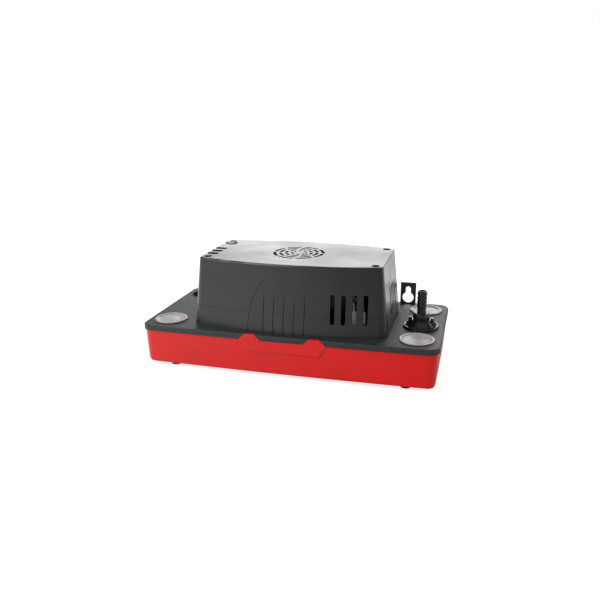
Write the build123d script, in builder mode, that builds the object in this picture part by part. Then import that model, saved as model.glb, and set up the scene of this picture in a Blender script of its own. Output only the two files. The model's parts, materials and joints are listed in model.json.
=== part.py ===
"""Low tank-type condensate pump: red reservoir, black deck lid, vented motor cover, float switches and pump.

Frame: millimetres, +Z up, +X along the tank towards the discharge end, +Y towards the wall that it hangs on.
The origin is on the floor under the middle of the tank.
"""

import os
from math import asin, atan2, cos, degrees, hypot, radians, sin, sqrt, tan

from build123d import *

# ---------------------------------------------------------------- driving dimensions
# clearances
seat_gap = 0.02  # between a pin and the hole that holds it
slip_gap = 0.2  # between fixed pieces that slide together once
running_gap = 0.35  # around pieces that move freely
shaft_fit = 0.03  # radial play of the shaft in its bearings
pin_fit = 0.05  # radial play of the arm on the hinge pin

# tank and lid
lid_length = 320.0
lid_depth = 150.0  # at the corners, before the long sides bow outwards
lid_bow = 2.3
lid_corner = 12.0
lid_top = 47.8
deck_plate = 3.0
skirt_drop = 5.9
skirt_wall = 0.9
lid_edge_chamfer = 1.1
gasket_height = 1.0
gasket_margin = 0.3
tank_wall = 2.5
tank_side_draft = 3.5
tank_end_draft = 2.8
tank_base = 3.8  # underside of the tank floor
tank_base_round = 4.0

# snap pad on each long side of the tank, with two tabs that stand in notches of the lid
tab_spacing = 69.4
tab_top_width = 11.4
tab_rise = 6.0
tab_depth = 3.0
pad_width = 94.0
pad_foot_width = 79.0
pad_bottom = 30.3

# feet
foot_spacing_x = 254.0
foot_spacing_y = 120.0
foot_radius = 5.6
foot_recess = 1.2

# inlets and their caps
inlet_spacing_x = 271.0
inlet_spacing_y = 98.0
inlet_radius = 16.6
inlet_wall = 1.6
inlet_lip = 0.4
inlet_collar = 5.0  # below the deck plate
cap_radius = 17.9
cap_flange = 1.0
cap_rim = 1.6
cap_wall = 1.2
cap_skirt = 7.0
cap_dish = 1.3

# wall brackets
bracket_x = 112.4
bracket_y = 70.0  # front face
bracket_width = 18.0
bracket_sheet = 1.5
bracket_top = 73.4
bracket_foot = 9.0
keyhole_z = 55.4
keyhole_radius = 6.4
keyhole_neck = 5.8
keyhole_rise = 10.4
bracket_screw_radius = 1.5

# motor cover
cover_y = -4.5
cover_length = 212.4
cover_depth = 102.0
cover_bow = 13.0
cover_corner = 13.0
cover_height = 72.6
cover_draft = 5.7
cover_wall = 2.4
cover_edge_round = 1.6
seam_height = 20.7
seam_width = 0.8
seam_depth = 0.5
vent_slot_width = 4.6
vent_slot_height = 31.4
vent_slot_pitch = 11.05
vent_slot_middle = 29.0  # above the deck
front_slot_first = 50.5
front_slot_count = 4
side_slot_count = 4
side_slot_middle = 0.0
cover_screw_x = 90.5
cover_screw_y = 38.5
cover_pillar_radius = 5.6
cover_counterbore = 4.3
cover_screw_seat = 60.0  # how deep the screw heads sit below the top
cover_boss_height = 8.0
screw_radius = 2.0
screw_head_radius = 3.6
screw_head_height = 2.6

# round grille over the fan
grille_rings = 4
grille_ring_pitch = 6.2
grille_outer_ring = 28.0
grille_slot = 3.2
grille_spokes = 8
grille_spoke_width = 2.6
grille_sweep = 40.0

# arched panel moulded into the front, grip flutes and rod recess in the top's left edge
arch_half_width = 40.0
arch_top = 67.0
arch_depth = 0.5
grip_flute_width = 7.6
grip_flute_length = 15.0
grip_flute_depth = 1.5
grip_flute_pitch = 12.5
grip_flute_count = 3
grip_flute_middle = -16.5
recess_length = 15.0
recess_width = 11.0
recess_depth = 3.6
recess_floor = 2.4

# motor
shaft_radius = 3.0
rotor_radius = 13.2
stack_height = 22.0
stack_bottom = 68.4
stator_half = 29.0
window_start = 21.0
window_width = 18.0
window_length = 38.0
core_width = 12.0
winding_thickness = 8.0
bobbin_wall = 1.2
post_height = 12.0
post_radius = 5.0
bolt_x = 20.5
bolt_y = 22.5
bolt_radius = 2.0
bolt_head_radius = 3.6
bolt_head_height = 2.5
bolt_grip = 8.0  # how far the bolts reach into the posts
sleeve_radius = 4.0
sleeve_height = 6.6
bridge_sheet = 2.0
bridge_strip = 10.0
bearing_radius = 6.0
bearing_height = 7.0
end_ring_radius = 11.0
end_ring_height = 2.0
fan_radius = 26.0
fan_hub_radius = 7.0
fan_height = 9.0
fan_bottom = 102.8
fan_blades = 7
fan_blade_sheet = 1.4
fan_blade_angle = 38.0

# pump
volute_radius = 33.5
volute_cavity = 25.5
volute_top = 32.0
volute_roof = 3.0
volute_floor = 12.0
volute_plate_sheet = 2.5
intake_radius = 8.5
intake_bar = 1.6
impeller_radius = 22.0
impeller_disc = 1.6
impeller_hub_radius = 6.0
impeller_blade_height = 9.5
impeller_blade_sheet = 1.5
impeller_blades = 6
impeller_gap = 1.0  # between the blades and the volute plate
outlet_z = 22.2
pipe_radius = 5.5
pipe_bore = 3.6
socket_wall = 1.8
socket_depth = 7.0
snout_length = 12.0
column_radius = 4.0
column_circle = 29.2
pump_screw_radius = 1.6
pump_screw_grip = 8.0

# check valve and the elbow under it
valve_x = 135.4
valve_y = -7.7
valve_flange_radius = 18.7
valve_flange = 2.4
valve_hub_radius = 10.4
valve_hub_height = 6.3
valve_ribs = 12
valve_cone_height = 4.6
valve_rib_sheet = 1.4
hex_flats = 15.4
hex_height = 7.1
barb_stem_radius = 4.75
barb_crest = 5.4
barb_count = 4
barb_pitch = 4.4
barb_top = 39.8  # above the deck
barb_bore = 3.2
thread_radius = 7.4
thread_length = 6.1
spigot_radius = 10.4
spigot_drop = 11.2
spigot_floor = 2.0
chamber_radius = 6.4
seat_radius = 3.9
ball_radius = 5.0
ball_flat = 0.06
lug_circle = 11.6
lug_radius = 1.9
lug_height = 8.0
oring_section = 1.2
elbow_wall = 2.0
elbow_flange_radius = 16.5
elbow_flange = 3.0
elbow_bore = 4.6
elbow_base = 13.0

# float, test rod and switches
rod_x = -90.0
rod_y = 24.0
pivot_x = -38.0
pivot_z = 36.0
link_z = 27.0
float_length = 54.0
float_width = 36.0
float_height = 14.0
float_bottom = 9.2
float_round = 3.0
float_offset = 5.0  # float centre, from the rod towards the pivot
arm_sheet = 4.0
arm_eye_radius = 4.0
arm_foot_length = 22.0
arm_foot_sheet = 1.6
arm_foot_width = 14.0
hinge_pin_radius = 1.5
link_pin_radius = 1.4
ear_sheet = 3.0
ear_length = 12.0
hinge_base_sheet = 1.5
rod_radius = 2.4
rod_travel = 11.0
rod_tail = 2.2  # below the link pin
grip_width = 7.4
grip_length = 9.0
grip_height = 4.2
grip_cover = 3.0
grip_lift = 0.4
switch_length = 27.8
switch_depth = 15.9
switch_height = 10.3
switch_x = -83.4  # face that carries the plunger
switch_plunger_offset = 8.0
switch_boss_height = 10.0
switch_boss_radius = 4.0
switch_spacer_height = 6.4
switch_screw_x = 12.0
switch_screw_pitch = 22.2
switch_screw_radius = 1.5
switch_blade_width = 6.3
switch_blade_sheet = 0.8
switch_blade_length = 6.5
cam_below = 12.5
cam_above = 1.0
cam_gap = 0.4
plunger_radius = 1.6
plunger_length = 5.0
plunger_gap = 0.3
run_travel = 1.6
safety_travel = 0.9

# wiring
gland_x = -62.0
gland_height = 20.0  # above the deck
gland_radius = 7.0
gland_bore = 4.2
gland_lip = 2.0
gland_lip_sheet = 2.0
clip_x = 75.0
clip_y = -49.0
clip_length = 17.0
clip_width = 7.0
clip_height = 10.0
splice_radius = 2.9
splice_height = 15.0
splice_pitch = 9.5
lead_radius = 1.2
lead_rise = 8.0  # straight run at each end of a lead

# ---------------------------------------------------------------- worked-out sizes
lid_half_x = lid_length / 2
lid_half_y = lid_depth / 2
deck_under = lid_top - deck_plate
skirt_bottom = lid_top - skirt_drop
tank_inset = skirt_wall + slip_gap
tank_rim = deck_under - gasket_height
tank_floor = tank_base + tank_wall
cover_top = lid_top + cover_height
cover_taper = tan(radians(cover_draft))
cover_half_x = cover_length / 2
cover_half_y = cover_depth / 2
cover_ceiling = cover_top - cover_wall
motor_axis = (0.0, cover_y)
stack_top = stack_bottom + stack_height
lower_bridge_z = lid_top + post_height
upper_bridge_z = stack_top + sleeve_height
core_x = window_start + window_width + core_width / 2
plate_top = volute_floor + volute_plate_sheet
impeller_blade_bottom = plate_top + impeller_gap
impeller_top = impeller_blade_bottom + impeller_blade_height + impeller_disc
socket_radius = pipe_radius + socket_wall
port_radius = spigot_radius + slip_gap
hub_top = lid_top + valve_flange + valve_hub_height
seat_z = lid_top - spigot_drop + spigot_floor
ball_z = seat_z + sqrt(ball_radius**2 - seat_radius**2) + running_gap
arm_rear_y = rod_y - rod_radius - running_gap
float_top = float_bottom + float_height
run_plunger_z = lid_top + switch_boss_height + switch_height / 2
safety_plunger_z = run_plunger_z + switch_height + switch_spacer_height

os.makedirs("parts", exist_ok=True)


def bowed_face(half_x, half_y, bow, corner):
    """A rectangle whose two long sides bulge outwards by bow, with round corners."""
    with BuildSketch() as outline:
        with BuildLine():
            ThreePointArc((-half_x, -half_y), (0, -half_y - bow), (half_x, -half_y))
            Line((half_x, -half_y), (half_x, half_y))
            ThreePointArc((half_x, half_y), (0, half_y + bow), (-half_x, half_y))
            Line((-half_x, half_y), (-half_x, -half_y))
        make_face()
        fillet(outline.vertices(), corner)
    return outline.sketch


def tank_block(*stations):
    """A solid through the tank's drafted outline, at heights with the insets from its outer wall."""
    with BuildPart() as block:
        for z, inset in stations:
            end_lean = (tank_rim - z) * tan(radians(tank_end_draft)) + tank_inset + inset
            side_lean = (tank_rim - z) * tan(radians(tank_side_draft)) + tank_inset + inset
            with BuildSketch(Plane.XY.offset(z)):
                corner = lid_corner - side_lean
                add(bowed_face(lid_half_x - end_lean, lid_half_y - side_lean, lid_bow, corner))
        loft(ruled=True)
    return block.part


def snap_pads(gap):
    """The raised pad with its two tabs on both long sides of the tank, grown by a gap for their notches."""
    out = tab_spacing / 2 + tab_top_width / 2
    inner = tab_spacing / 2 - tab_top_width / 2
    right = [
        (inner - tab_rise, skirt_bottom),
        (inner, skirt_bottom + tab_rise),
        (out, skirt_bottom + tab_rise),
        (pad_width / 2, skirt_bottom),
        (pad_foot_width / 2, pad_bottom),
    ]
    left = [(-x, z) for x, z in reversed(right)]
    with BuildPart() as pads:
        with BuildSketch(Plane.XZ):
            with BuildLine():
                Polyline(right + left, close=True)
            make_face()
            if gap > 0:
                offset(amount=gap, kind=Kind.INTERSECTION)
        extrude(amount=lid_depth, both=True)
        with BuildSketch(Plane.XY.offset(pad_bottom - gap)):
            add(bowed_face(lid_half_x + gap, lid_half_y + gap, lid_bow, lid_corner + gap))
            inset = tab_depth + gap
            add(bowed_face(lid_half_x - inset, lid_half_y - inset, lid_bow, lid_corner - inset), mode=Mode.SUBTRACT)
        extrude(amount=lid_top, mode=Mode.INTERSECT)
    return pads.part


def cover_block(*stations):
    """A solid through the motor cover's outline, at heights above the deck with the insets from its outside."""
    with BuildPart() as block:
        for height, inset in stations:
            lean = height * cover_taper + inset
            with BuildSketch(Plane.XY.offset(lid_top + height)):
                with Locations((0, cover_y)):
                    add(bowed_face(cover_half_x - lean, cover_half_y - lean, cover_bow, cover_corner - lean))
        loft(ruled=True)
    return block.part


def cover_rear_y(x, height):
    """Where the outside of the cover's rear wall stands at x and at a height above the deck."""
    half_x = cover_half_x - height * cover_taper
    arc_radius = (half_x**2 + cover_bow**2) / (2 * cover_bow)
    return cover_y + cover_half_y - height * cover_taper + cover_bow - arc_radius + sqrt(arc_radius**2 - x**2)


# ---------------------------------------------------------------- tank
with BuildPart() as tank:
    # the rounded foot of the wall is three facets deep
    add(
        tank_block(
            (tank_base, tank_base_round * 0.8),
            (tank_base + tank_base_round * 0.25, tank_base_round * 0.25),
            (tank_base + tank_base_round, 0),
            (tank_rim, 0),
        )
    )
    add(snap_pads(0))
    add(tank_block((tank_floor, tank_wall), (tank_rim, tank_wall)), mode=Mode.SUBTRACT)
    with BuildSketch(Plane.XY.offset(tank_base)):
        with GridLocations(foot_spacing_x, foot_spacing_y, 2, 2):
            Circle(foot_radius + slip_gap)
    extrude(amount=foot_recess, mode=Mode.SUBTRACT)
tank.part.label = "tank"
export_step(tank.part, "parts/tank.step")

with BuildPart() as tank_feet:
    with BuildSketch():
        with GridLocations(foot_spacing_x, foot_spacing_y, 2, 2):
            Circle(foot_radius)
    extrude(amount=tank_base + foot_recess)
    chamfer(tank_feet.edges().group_by(Axis.Z)[0], 0.6)
tank_feet.part.label = "tank_feet"
export_step(tank_feet.part, "parts/tank_feet.step")

with BuildPart() as rim_gasket:
    add(tank_block((tank_rim, gasket_margin), (deck_under, gasket_margin)))
    inner_margin = tank_wall - gasket_margin
    add(tank_block((tank_rim, inner_margin), (deck_under, inner_margin)), mode=Mode.SUBTRACT)
    add(snap_pads(slip_gap), mode=Mode.SUBTRACT)
rim_gasket.part.label = "rim_gasket"
export_step(rim_gasket.part, "parts/rim_gasket.step")

# ---------------------------------------------------------------- lid
with BuildPart() as lid:
    with BuildSketch(Plane.XY.offset(skirt_bottom)):
        add(bowed_face(lid_half_x, lid_half_y, lid_bow, lid_corner))
    extrude(amount=skirt_drop)
    chamfer(lid.faces().sort_by(Axis.Z)[-1].edges(), lid_edge_chamfer)
    with BuildSketch(Plane.XY.offset(skirt_bottom)):
        add(bowed_face(lid_half_x - skirt_wall, lid_half_y - skirt_wall, lid_bow, lid_corner - skirt_wall))
    extrude(amount=skirt_drop - deck_plate, mode=Mode.SUBTRACT)
    add(snap_pads(slip_gap), mode=Mode.SUBTRACT)
    # inlet collars, pump columns, motor posts and screw bosses
    with BuildSketch(Plane.XY.offset(deck_under - inlet_collar)):
        with GridLocations(inlet_spacing_x, inlet_spacing_y, 2, 2):
            Circle(inlet_radius + inlet_wall)
    extrude(amount=inlet_collar + deck_plate + inlet_lip)
    with BuildSketch(Plane.XY.offset(volute_top)):
        with Locations(motor_axis):
            with PolarLocations(column_circle, 4):
                Circle(column_radius)
    extrude(amount=deck_under - volute_top)
    with BuildSketch(Plane.XY.offset(lid_top)):
        with Locations(motor_axis):
            with GridLocations(2 * bolt_x, 2 * bolt_y, 2, 2):
                Circle(post_radius)
    extrude(amount=post_height)
    with BuildSketch(Plane.XY.offset(lid_top)):
        with Locations(motor_axis):
            with GridLocations(2 * cover_screw_x, 2 * cover_screw_y, 2, 2):
                Circle(cover_pillar_radius)
    extrude(amount=cover_boss_height)
    with BuildSketch(Plane.XY.offset(lid_top)):
        with Locations((switch_x + switch_screw_x, rod_y - switch_plunger_offset)):
            with GridLocations(0, switch_screw_pitch, 1, 2):
                Circle(switch_boss_radius)
    extrude(amount=switch_boss_height)
    # holes
    with Locations((0, 0, lid_top + inlet_lip)):
        with GridLocations(inlet_spacing_x, inlet_spacing_y, 2, 2):
            Hole(inlet_radius, inlet_collar + deck_plate + inlet_lip)
    with Locations((0, cover_y, lid_top)):
        Hole(shaft_radius + 5 * running_gap, deck_plate)
    with Locations((rod_x, rod_y, lid_top)):
        Hole(rod_radius + running_gap, deck_plate)
    with Locations((valve_x, valve_y, lid_top)):
        Hole(port_radius, deck_plate)
    with BuildSketch(Plane.XY.offset(deck_under)):
        with Locations((0, bracket_y + bracket_sheet / 2)):
            with GridLocations(2 * bracket_x, 0, 2, 1):
                Rectangle(bracket_width + 2 * slip_gap, bracket_sheet + 2 * slip_gap)
    extrude(amount=deck_plate, mode=Mode.SUBTRACT)
    # blind holes for the screws: pump from below, motor and cover and switches from above
    with BuildSketch(Plane.XY.offset(volute_top)):
        with Locations(motor_axis):
            with PolarLocations(column_circle, 4):
                Circle(pump_screw_radius + seat_gap)
    extrude(amount=pump_screw_grip, mode=Mode.SUBTRACT)
    with Locations((0, cover_y, lid_top + post_height)):
        with GridLocations(2 * bolt_x, 2 * bolt_y, 2, 2):
            Hole(bolt_radius + seat_gap, bolt_grip)
    with Locations((0, cover_y, lid_top + cover_boss_height)):
        with GridLocations(2 * cover_screw_x, 2 * cover_screw_y, 2, 2):
            Hole(screw_radius + seat_gap, cover_boss_height)
    with Locations((switch_x + switch_screw_x, rod_y - switch_plunger_offset, lid_top + switch_boss_height)):
        with GridLocations(0, switch_screw_pitch, 1, 2):
            Hole(switch_screw_radius + seat_gap, switch_boss_height)
lid.part.label = "lid"
export_step(lid.part, "parts/lid.step")

# ---------------------------------------------------------------- inlet caps
cap_base = lid_top + inlet_lip
cap_plug = inlet_radius - slip_gap
inlet_x = inlet_spacing_x / 2
inlet_y = inlet_spacing_y / 2
for cap_name, cap_x, cap_y in (
    ("inlet_cap_front_left", -inlet_x, -inlet_y),
    ("inlet_cap_front_right", inlet_x, -inlet_y),
    ("inlet_cap_rear_right", inlet_x, inlet_y),
):
    cap_axis = Axis((cap_x, cap_y, 0), (0, 0, 1))
    with BuildPart() as inlet_cap:
        with BuildSketch(Plane(origin=(cap_x, cap_y, cap_base), x_dir=(1, 0, 0), z_dir=(0, -1, 0))):
            with BuildLine():
                Polyline(
                    (0, cap_flange - cap_dish),
                    (cap_plug - cap_rim, cap_flange - cap_dish),
                    (cap_plug - cap_rim + 0.6, cap_flange),
                    (cap_radius, cap_flange),
                    (cap_radius, 0),
                    (cap_plug, 0),
                    (cap_plug, -cap_skirt),
                    (cap_plug - cap_wall, -cap_skirt),
                    (cap_plug - cap_wall, cap_flange - cap_dish - cap_wall),
                    (0, cap_flange - cap_dish - cap_wall),
                    close=True,
                )
            make_face()
        revolve(axis=cap_axis)
        fillet(inlet_cap.edges().group_by(Axis.Z)[-1].sort_by(SortBy.RADIUS)[-1], 0.5)
    inlet_cap.part.label = cap_name
    export_step(inlet_cap.part, f"parts/{cap_name}.step")

# ---------------------------------------------------------------- wall brackets
for bracket_name, side in (("bracket_left", -1), ("bracket_right", 1)):
    with BuildPart() as bracket:
        with BuildSketch(Plane.XZ.offset(-bracket_y)):
            with Locations((side * bracket_x, (bracket_top + deck_under - bracket_sheet) / 2)):
                Rectangle(bracket_width, bracket_top - deck_under + bracket_sheet)
            with Locations((side * bracket_x, keyhole_z)):
                Circle(keyhole_radius, mode=Mode.SUBTRACT)
            with Locations((side * bracket_x, keyhole_z + keyhole_rise / 2)):
                SlotCenterToCenter(keyhole_rise, keyhole_neck, rotation=90, mode=Mode.SUBTRACT)
        extrude(amount=-bracket_sheet)
        with BuildSketch(Plane.XY.offset(deck_under - bracket_sheet)):
            with Locations((side * bracket_x, bracket_y + bracket_sheet - bracket_foot / 2)):
                Rectangle(bracket_width, bracket_foot)
        extrude(amount=bracket_sheet)
        with Locations((side * bracket_x, bracket_y - bracket_foot / 2, deck_under - bracket_sheet)):
            with GridLocations(bracket_width / 2, 0, 2, 1):
                Hole(bracket_screw_radius + seat_gap, bracket_sheet)
    bracket.part.label = bracket_name
    export_step(bracket.part, f"parts/{bracket_name}.step")

with BuildPart() as bracket_screws:
    with BuildSketch(Plane.XY.offset(deck_under - bracket_sheet)):
        with Locations((0, bracket_y - bracket_foot / 2)):
            with GridLocations(2 * bracket_x, 0, 2, 1):
                with GridLocations(bracket_width / 2, 0, 2, 1):
                    Circle(2 * bracket_screw_radius)
    extrude(amount=-bracket_screw_radius)
    with BuildSketch(Plane.XY.offset(deck_under - bracket_sheet)):
        with Locations((0, bracket_y - bracket_foot / 2)):
            with GridLocations(2 * bracket_x, 0, 2, 1):
                with GridLocations(bracket_width / 2, 0, 2, 1):
                    Circle(bracket_screw_radius)
    extrude(amount=bracket_sheet)
bracket_screws.part.label = "bracket_screws"
export_step(bracket_screws.part, "parts/bracket_screws.step")

# ---------------------------------------------------------------- motor cover
# the arched panel is cut only skin-deep, so it is taken from a thin skin of the cover
with BuildPart() as front_relief:
    with BuildSketch(Plane.XZ):
        with Locations((0, lid_top)):
            Ellipse(arch_half_width, arch_top)
            Rectangle(2 * arch_half_width, 2 * arch_top, align=(Align.CENTER, Align.MAX), mode=Mode.SUBTRACT)
    extrude(amount=cover_depth)
    add(cover_block((0, arch_depth), (cover_height, arch_depth)), mode=Mode.SUBTRACT)

with BuildPart() as seam_groove:
    seam_top = seam_height + seam_width
    add(cover_block((seam_height, -1), (seam_top, -1)))
    add(cover_block((seam_height, seam_depth), (seam_top, seam_depth)), mode=Mode.SUBTRACT)

gland_y = cover_rear_y(gland_x, gland_height)
gland_slope = (cover_rear_y(gland_x + 1, gland_height) - cover_rear_y(gland_x - 1, gland_height)) / 2
gland_plane = Plane(
    origin=(gland_x, gland_y, lid_top + gland_height),
    x_dir=(1, gland_slope, 0),
    z_dir=(-gland_slope, 1, cover_taper),
)

with BuildPart() as motor_cover:
    # the top edge is rounded in three steps
    add(
        cover_block(
            (0, 0),
            (cover_height - cover_edge_round, 0),
            (cover_height - cover_edge_round * 0.3, cover_edge_round * 0.3),
            (cover_height, cover_edge_round),
        )
    )
    add(front_relief.part, mode=Mode.SUBTRACT)
    add(cover_block((0, cover_wall), (cover_height - cover_wall, cover_wall)), mode=Mode.SUBTRACT)
    add(seam_groove.part, mode=Mode.SUBTRACT)
    # screw pillars
    with BuildSketch(Plane.XY.offset(lid_top + cover_boss_height)):
        with Locations(motor_axis):
            with GridLocations(2 * cover_screw_x, 2 * cover_screw_y, 2, 2):
                Circle(cover_pillar_radius)
    extrude(amount=cover_ceiling - lid_top - cover_boss_height)
    with Locations((0, cover_y, cover_top)):
        with GridLocations(2 * cover_screw_x, 2 * cover_screw_y, 2, 2):
            CounterBoreHole(screw_radius + seat_gap, cover_counterbore, cover_screw_seat, cover_height)
    # floor of the test rod's recess, then the recess and the rod's hole
    with BuildSketch(Plane.XY.offset(cover_top - recess_depth - recess_floor)):
        with Locations((rod_x, rod_y)):
            Rectangle(recess_length + cover_wall, recess_width + 2 * cover_wall)
    extrude(amount=recess_depth + recess_floor - cover_wall)
    with BuildSketch(Plane.XY.offset(cover_top - recess_depth)):
        with Locations((rod_x - recess_length / 2, rod_y)):
            Rectangle(2 * recess_length, recess_width)
    extrude(amount=recess_depth, mode=Mode.SUBTRACT)
    with Locations((rod_x, rod_y, cover_top)):
        Hole(rod_radius + running_gap, recess_depth + recess_floor)
    # grip flutes in the left edge
    with BuildSketch(Plane.XY.offset(cover_top - grip_flute_depth)):
        with Locations((-cover_half_x + cover_height * cover_taper, grip_flute_middle)):
            with GridLocations(0, grip_flute_pitch, 1, grip_flute_count):
                SlotOverall(2 * grip_flute_length, grip_flute_width)
    extrude(amount=grip_flute_depth, mode=Mode.SUBTRACT)
    # vent slots in the front and in both ends
    with BuildSketch(Plane.XZ.offset(-cover_y)):
        for number in range(front_slot_count):
            with Locations((front_slot_first + number * vent_slot_pitch, lid_top + vent_slot_middle)):
                SlotOverall(vent_slot_height, vent_slot_width, rotation=90)
    extrude(amount=cover_depth, mode=Mode.SUBTRACT)
    with BuildSketch(Plane.YZ):
        with Locations((side_slot_middle, lid_top + vent_slot_middle)):
            with GridLocations(vent_slot_pitch, 0, side_slot_count, 1):
                SlotOverall(vent_slot_height, vent_slot_width, rotation=90)
    extrude(amount=cover_length, both=True, mode=Mode.SUBTRACT)
    # round grille: ring slots crossed by swept spokes
    with BuildSketch(Plane.XY.offset(cover_ceiling)):
        with Locations(motor_axis):
            for ring in range(grille_rings):
                ring_radius = grille_outer_ring - ring * grille_ring_pitch
                Circle(ring_radius)
                Circle(ring_radius - grille_slot, mode=Mode.SUBTRACT)
        for number in range(grille_spokes):
            turn = number * 360 / grille_spokes
            with BuildLine():
                ThreePointArc(
                    Vector(0, cover_y),
                    Vector(0, cover_y) + Vector(grille_outer_ring / 2, 0).rotate(Axis.Z, turn + grille_sweep / 2),
                    Vector(0, cover_y) + Vector(grille_outer_ring + 1, 0).rotate(Axis.Z, turn),
                )
            trace(line_width=grille_spoke_width, mode=Mode.SUBTRACT)
    extrude(amount=cover_wall, mode=Mode.SUBTRACT)
    with Locations(gland_plane):
        Hole(gland_radius, 3 * cover_wall)
motor_cover.part.label = "motor_cover"
export_step(motor_cover.part, "parts/motor_cover.step")

screw_seat_z = cover_top - cover_screw_seat
with BuildPart() as cover_screws:
    with BuildSketch(Plane.XY.offset(lid_top + 1)):
        with Locations(motor_axis):
            with GridLocations(2 * cover_screw_x, 2 * cover_screw_y, 2, 2):
                Circle(screw_radius)
    extrude(amount=screw_seat_z - lid_top - 1)
    with BuildSketch(Plane.XY.offset(screw_seat_z)):
        with Locations(motor_axis):
            with GridLocations(2 * cover_screw_x, 2 * cover_screw_y, 2, 2):
                Circle(screw_head_radius)
    extrude(amount=screw_head_height)
cover_screws.part.label = "cover_screws"
export_step(cover_screws.part, "parts/cover_screws.step")

with BuildPart() as cord_gland:
    # both lips stand just clear of the bowed wall, and the neck fills its hole
    with BuildSketch(gland_plane.offset(running_gap)):
        Circle(gland_radius + gland_lip)
    extrude(amount=gland_lip_sheet)
    with BuildSketch(gland_plane.offset(running_gap)):
        Circle(gland_radius)
    extrude(amount=-cover_wall - gland_lip_sheet)
    with BuildSketch(gland_plane.offset(-cover_wall - running_gap - slip_gap)):
        Circle(gland_radius + gland_lip)
    extrude(amount=-gland_lip_sheet)
    with BuildSketch(gland_plane.offset(gland_lip_sheet + running_gap)):
        Circle(gland_bore)
    extrude(amount=-2 * cover_wall - 2 * gland_lip_sheet, mode=Mode.SUBTRACT)
cord_gland.part.label = "cord_gland"
export_step(cord_gland.part, "parts/cord_gland.step")

# ---------------------------------------------------------------- motor
with BuildPart() as stator_core:
    with BuildSketch(Plane.XY.offset(stack_bottom)):
        stator_reach = core_x + core_width / 2
        with Locations(((stator_reach - stator_half) / 2, cover_y)):
            Rectangle(stator_reach + stator_half, 2 * stator_half)
        with Locations((window_start + window_width / 2, cover_y)):
            Rectangle(window_width, window_length, mode=Mode.SUBTRACT)
        with Locations(motor_axis):
            Circle(rotor_radius + running_gap, mode=Mode.SUBTRACT)
            with GridLocations(2 * bolt_x, 2 * bolt_y, 2, 2):
                Circle(bolt_radius + seat_gap, mode=Mode.SUBTRACT)
    extrude(amount=stack_height)
stator_core.part.label = "stator_core"
export_step(stator_core.part, "parts/stator_core.step")

bobbin_x = core_width / 2 + slip_gap
bobbin_z = stack_height / 2 + slip_gap
bobbin_length = window_length - 2 * slip_gap
bobbin_plane = Plane(origin=(core_x, cover_y, stack_bottom + stack_height / 2), x_dir=(1, 0, 0), z_dir=(0, 1, 0))
with BuildPart() as coil_bobbin:
    with BuildSketch(bobbin_plane.offset(-bobbin_length / 2)):
        Rectangle(2 * (bobbin_x + bobbin_wall), 2 * (bobbin_z + bobbin_wall))
    extrude(amount=bobbin_length)
    with BuildSketch(
        bobbin_plane.offset(-bobbin_length / 2),
        bobbin_plane.offset(bobbin_length / 2 - bobbin_wall),
    ):
        flange_out = bobbin_wall + winding_thickness + slip_gap
        RectangleRounded(2 * (bobbin_x + flange_out), 2 * (bobbin_z + flange_out), 3)
    extrude(amount=bobbin_wall)
    with BuildSketch(bobbin_plane.offset(-bobbin_length / 2)):
        Rectangle(2 * bobbin_x, 2 * bobbin_z)
    extrude(amount=bobbin_length, mode=Mode.SUBTRACT)
coil_bobbin.part.label = "coil_bobbin"
export_step(coil_bobbin.part, "parts/coil_bobbin.step")

with BuildPart() as coil_winding:
    with BuildSketch(bobbin_plane.offset(-bobbin_length / 2 + bobbin_wall)):
        wound_out = bobbin_wall + winding_thickness
        RectangleRounded(2 * (bobbin_x + wound_out), 2 * (bobbin_z + wound_out), winding_thickness / 2)
        Rectangle(2 * (bobbin_x + bobbin_wall), 2 * (bobbin_z + bobbin_wall), mode=Mode.SUBTRACT)
    extrude(amount=bobbin_length - 2 * bobbin_wall)
coil_winding.part.label = "coil_winding"
export_step(coil_winding.part, "parts/coil_winding.step")

for bridge_name, bearing_name, bridge_z in (
    ("lower_bridge", "lower_bearing", lower_bridge_z),
    ("upper_bridge", "upper_bearing", upper_bridge_z),
):
    with BuildPart() as bridge:
        with BuildSketch(Plane.XY.offset(bridge_z)):
            with Locations(motor_axis):
                with GridLocations(2 * bolt_x, 0, 2, 1):
                    Rectangle(bridge_strip, 2 * bolt_y + bridge_strip)
                Rectangle(2 * bolt_x, 2 * bearing_radius + bridge_strip / 2)
                Circle(bearing_radius + seat_gap, mode=Mode.SUBTRACT)
                with GridLocations(2 * bolt_x, 2 * bolt_y, 2, 2):
                    Circle(bolt_radius + seat_gap, mode=Mode.SUBTRACT)
        extrude(amount=bridge_sheet)
    bridge.part.label = bridge_name
    export_step(bridge.part, f"parts/{bridge_name}.step")
    with BuildPart() as bearing:
        with BuildSketch(Plane.XY.offset(bridge_z + bridge_sheet / 2 - bearing_height / 2)):
            with Locations(motor_axis):
                Circle(bearing_radius)
                Circle(shaft_radius + shaft_fit, mode=Mode.SUBTRACT)
        extrude(amount=bearing_height)
        chamfer(bearing.edges().filter_by(GeomType.CIRCLE).sort_by(SortBy.RADIUS)[-2:], 0.6)
    bearing.part.label = bearing_name
    export_step(bearing.part, f"parts/{bearing_name}.step")

with BuildPart() as motor_sleeves:
    for sleeve_z, sleeve_top in ((lower_bridge_z + bridge_sheet, stack_bottom), (stack_top, upper_bridge_z)):
        with BuildSketch(Plane.XY.offset(sleeve_z)):
            with Locations(motor_axis):
                with GridLocations(2 * bolt_x, 2 * bolt_y, 2, 2):
                    Circle(sleeve_radius)
                    Circle(bolt_radius + seat_gap, mode=Mode.SUBTRACT)
        extrude(amount=sleeve_top - sleeve_z)
motor_sleeves.part.label = "motor_sleeves"
export_step(motor_sleeves.part, "parts/motor_sleeves.step")

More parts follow.
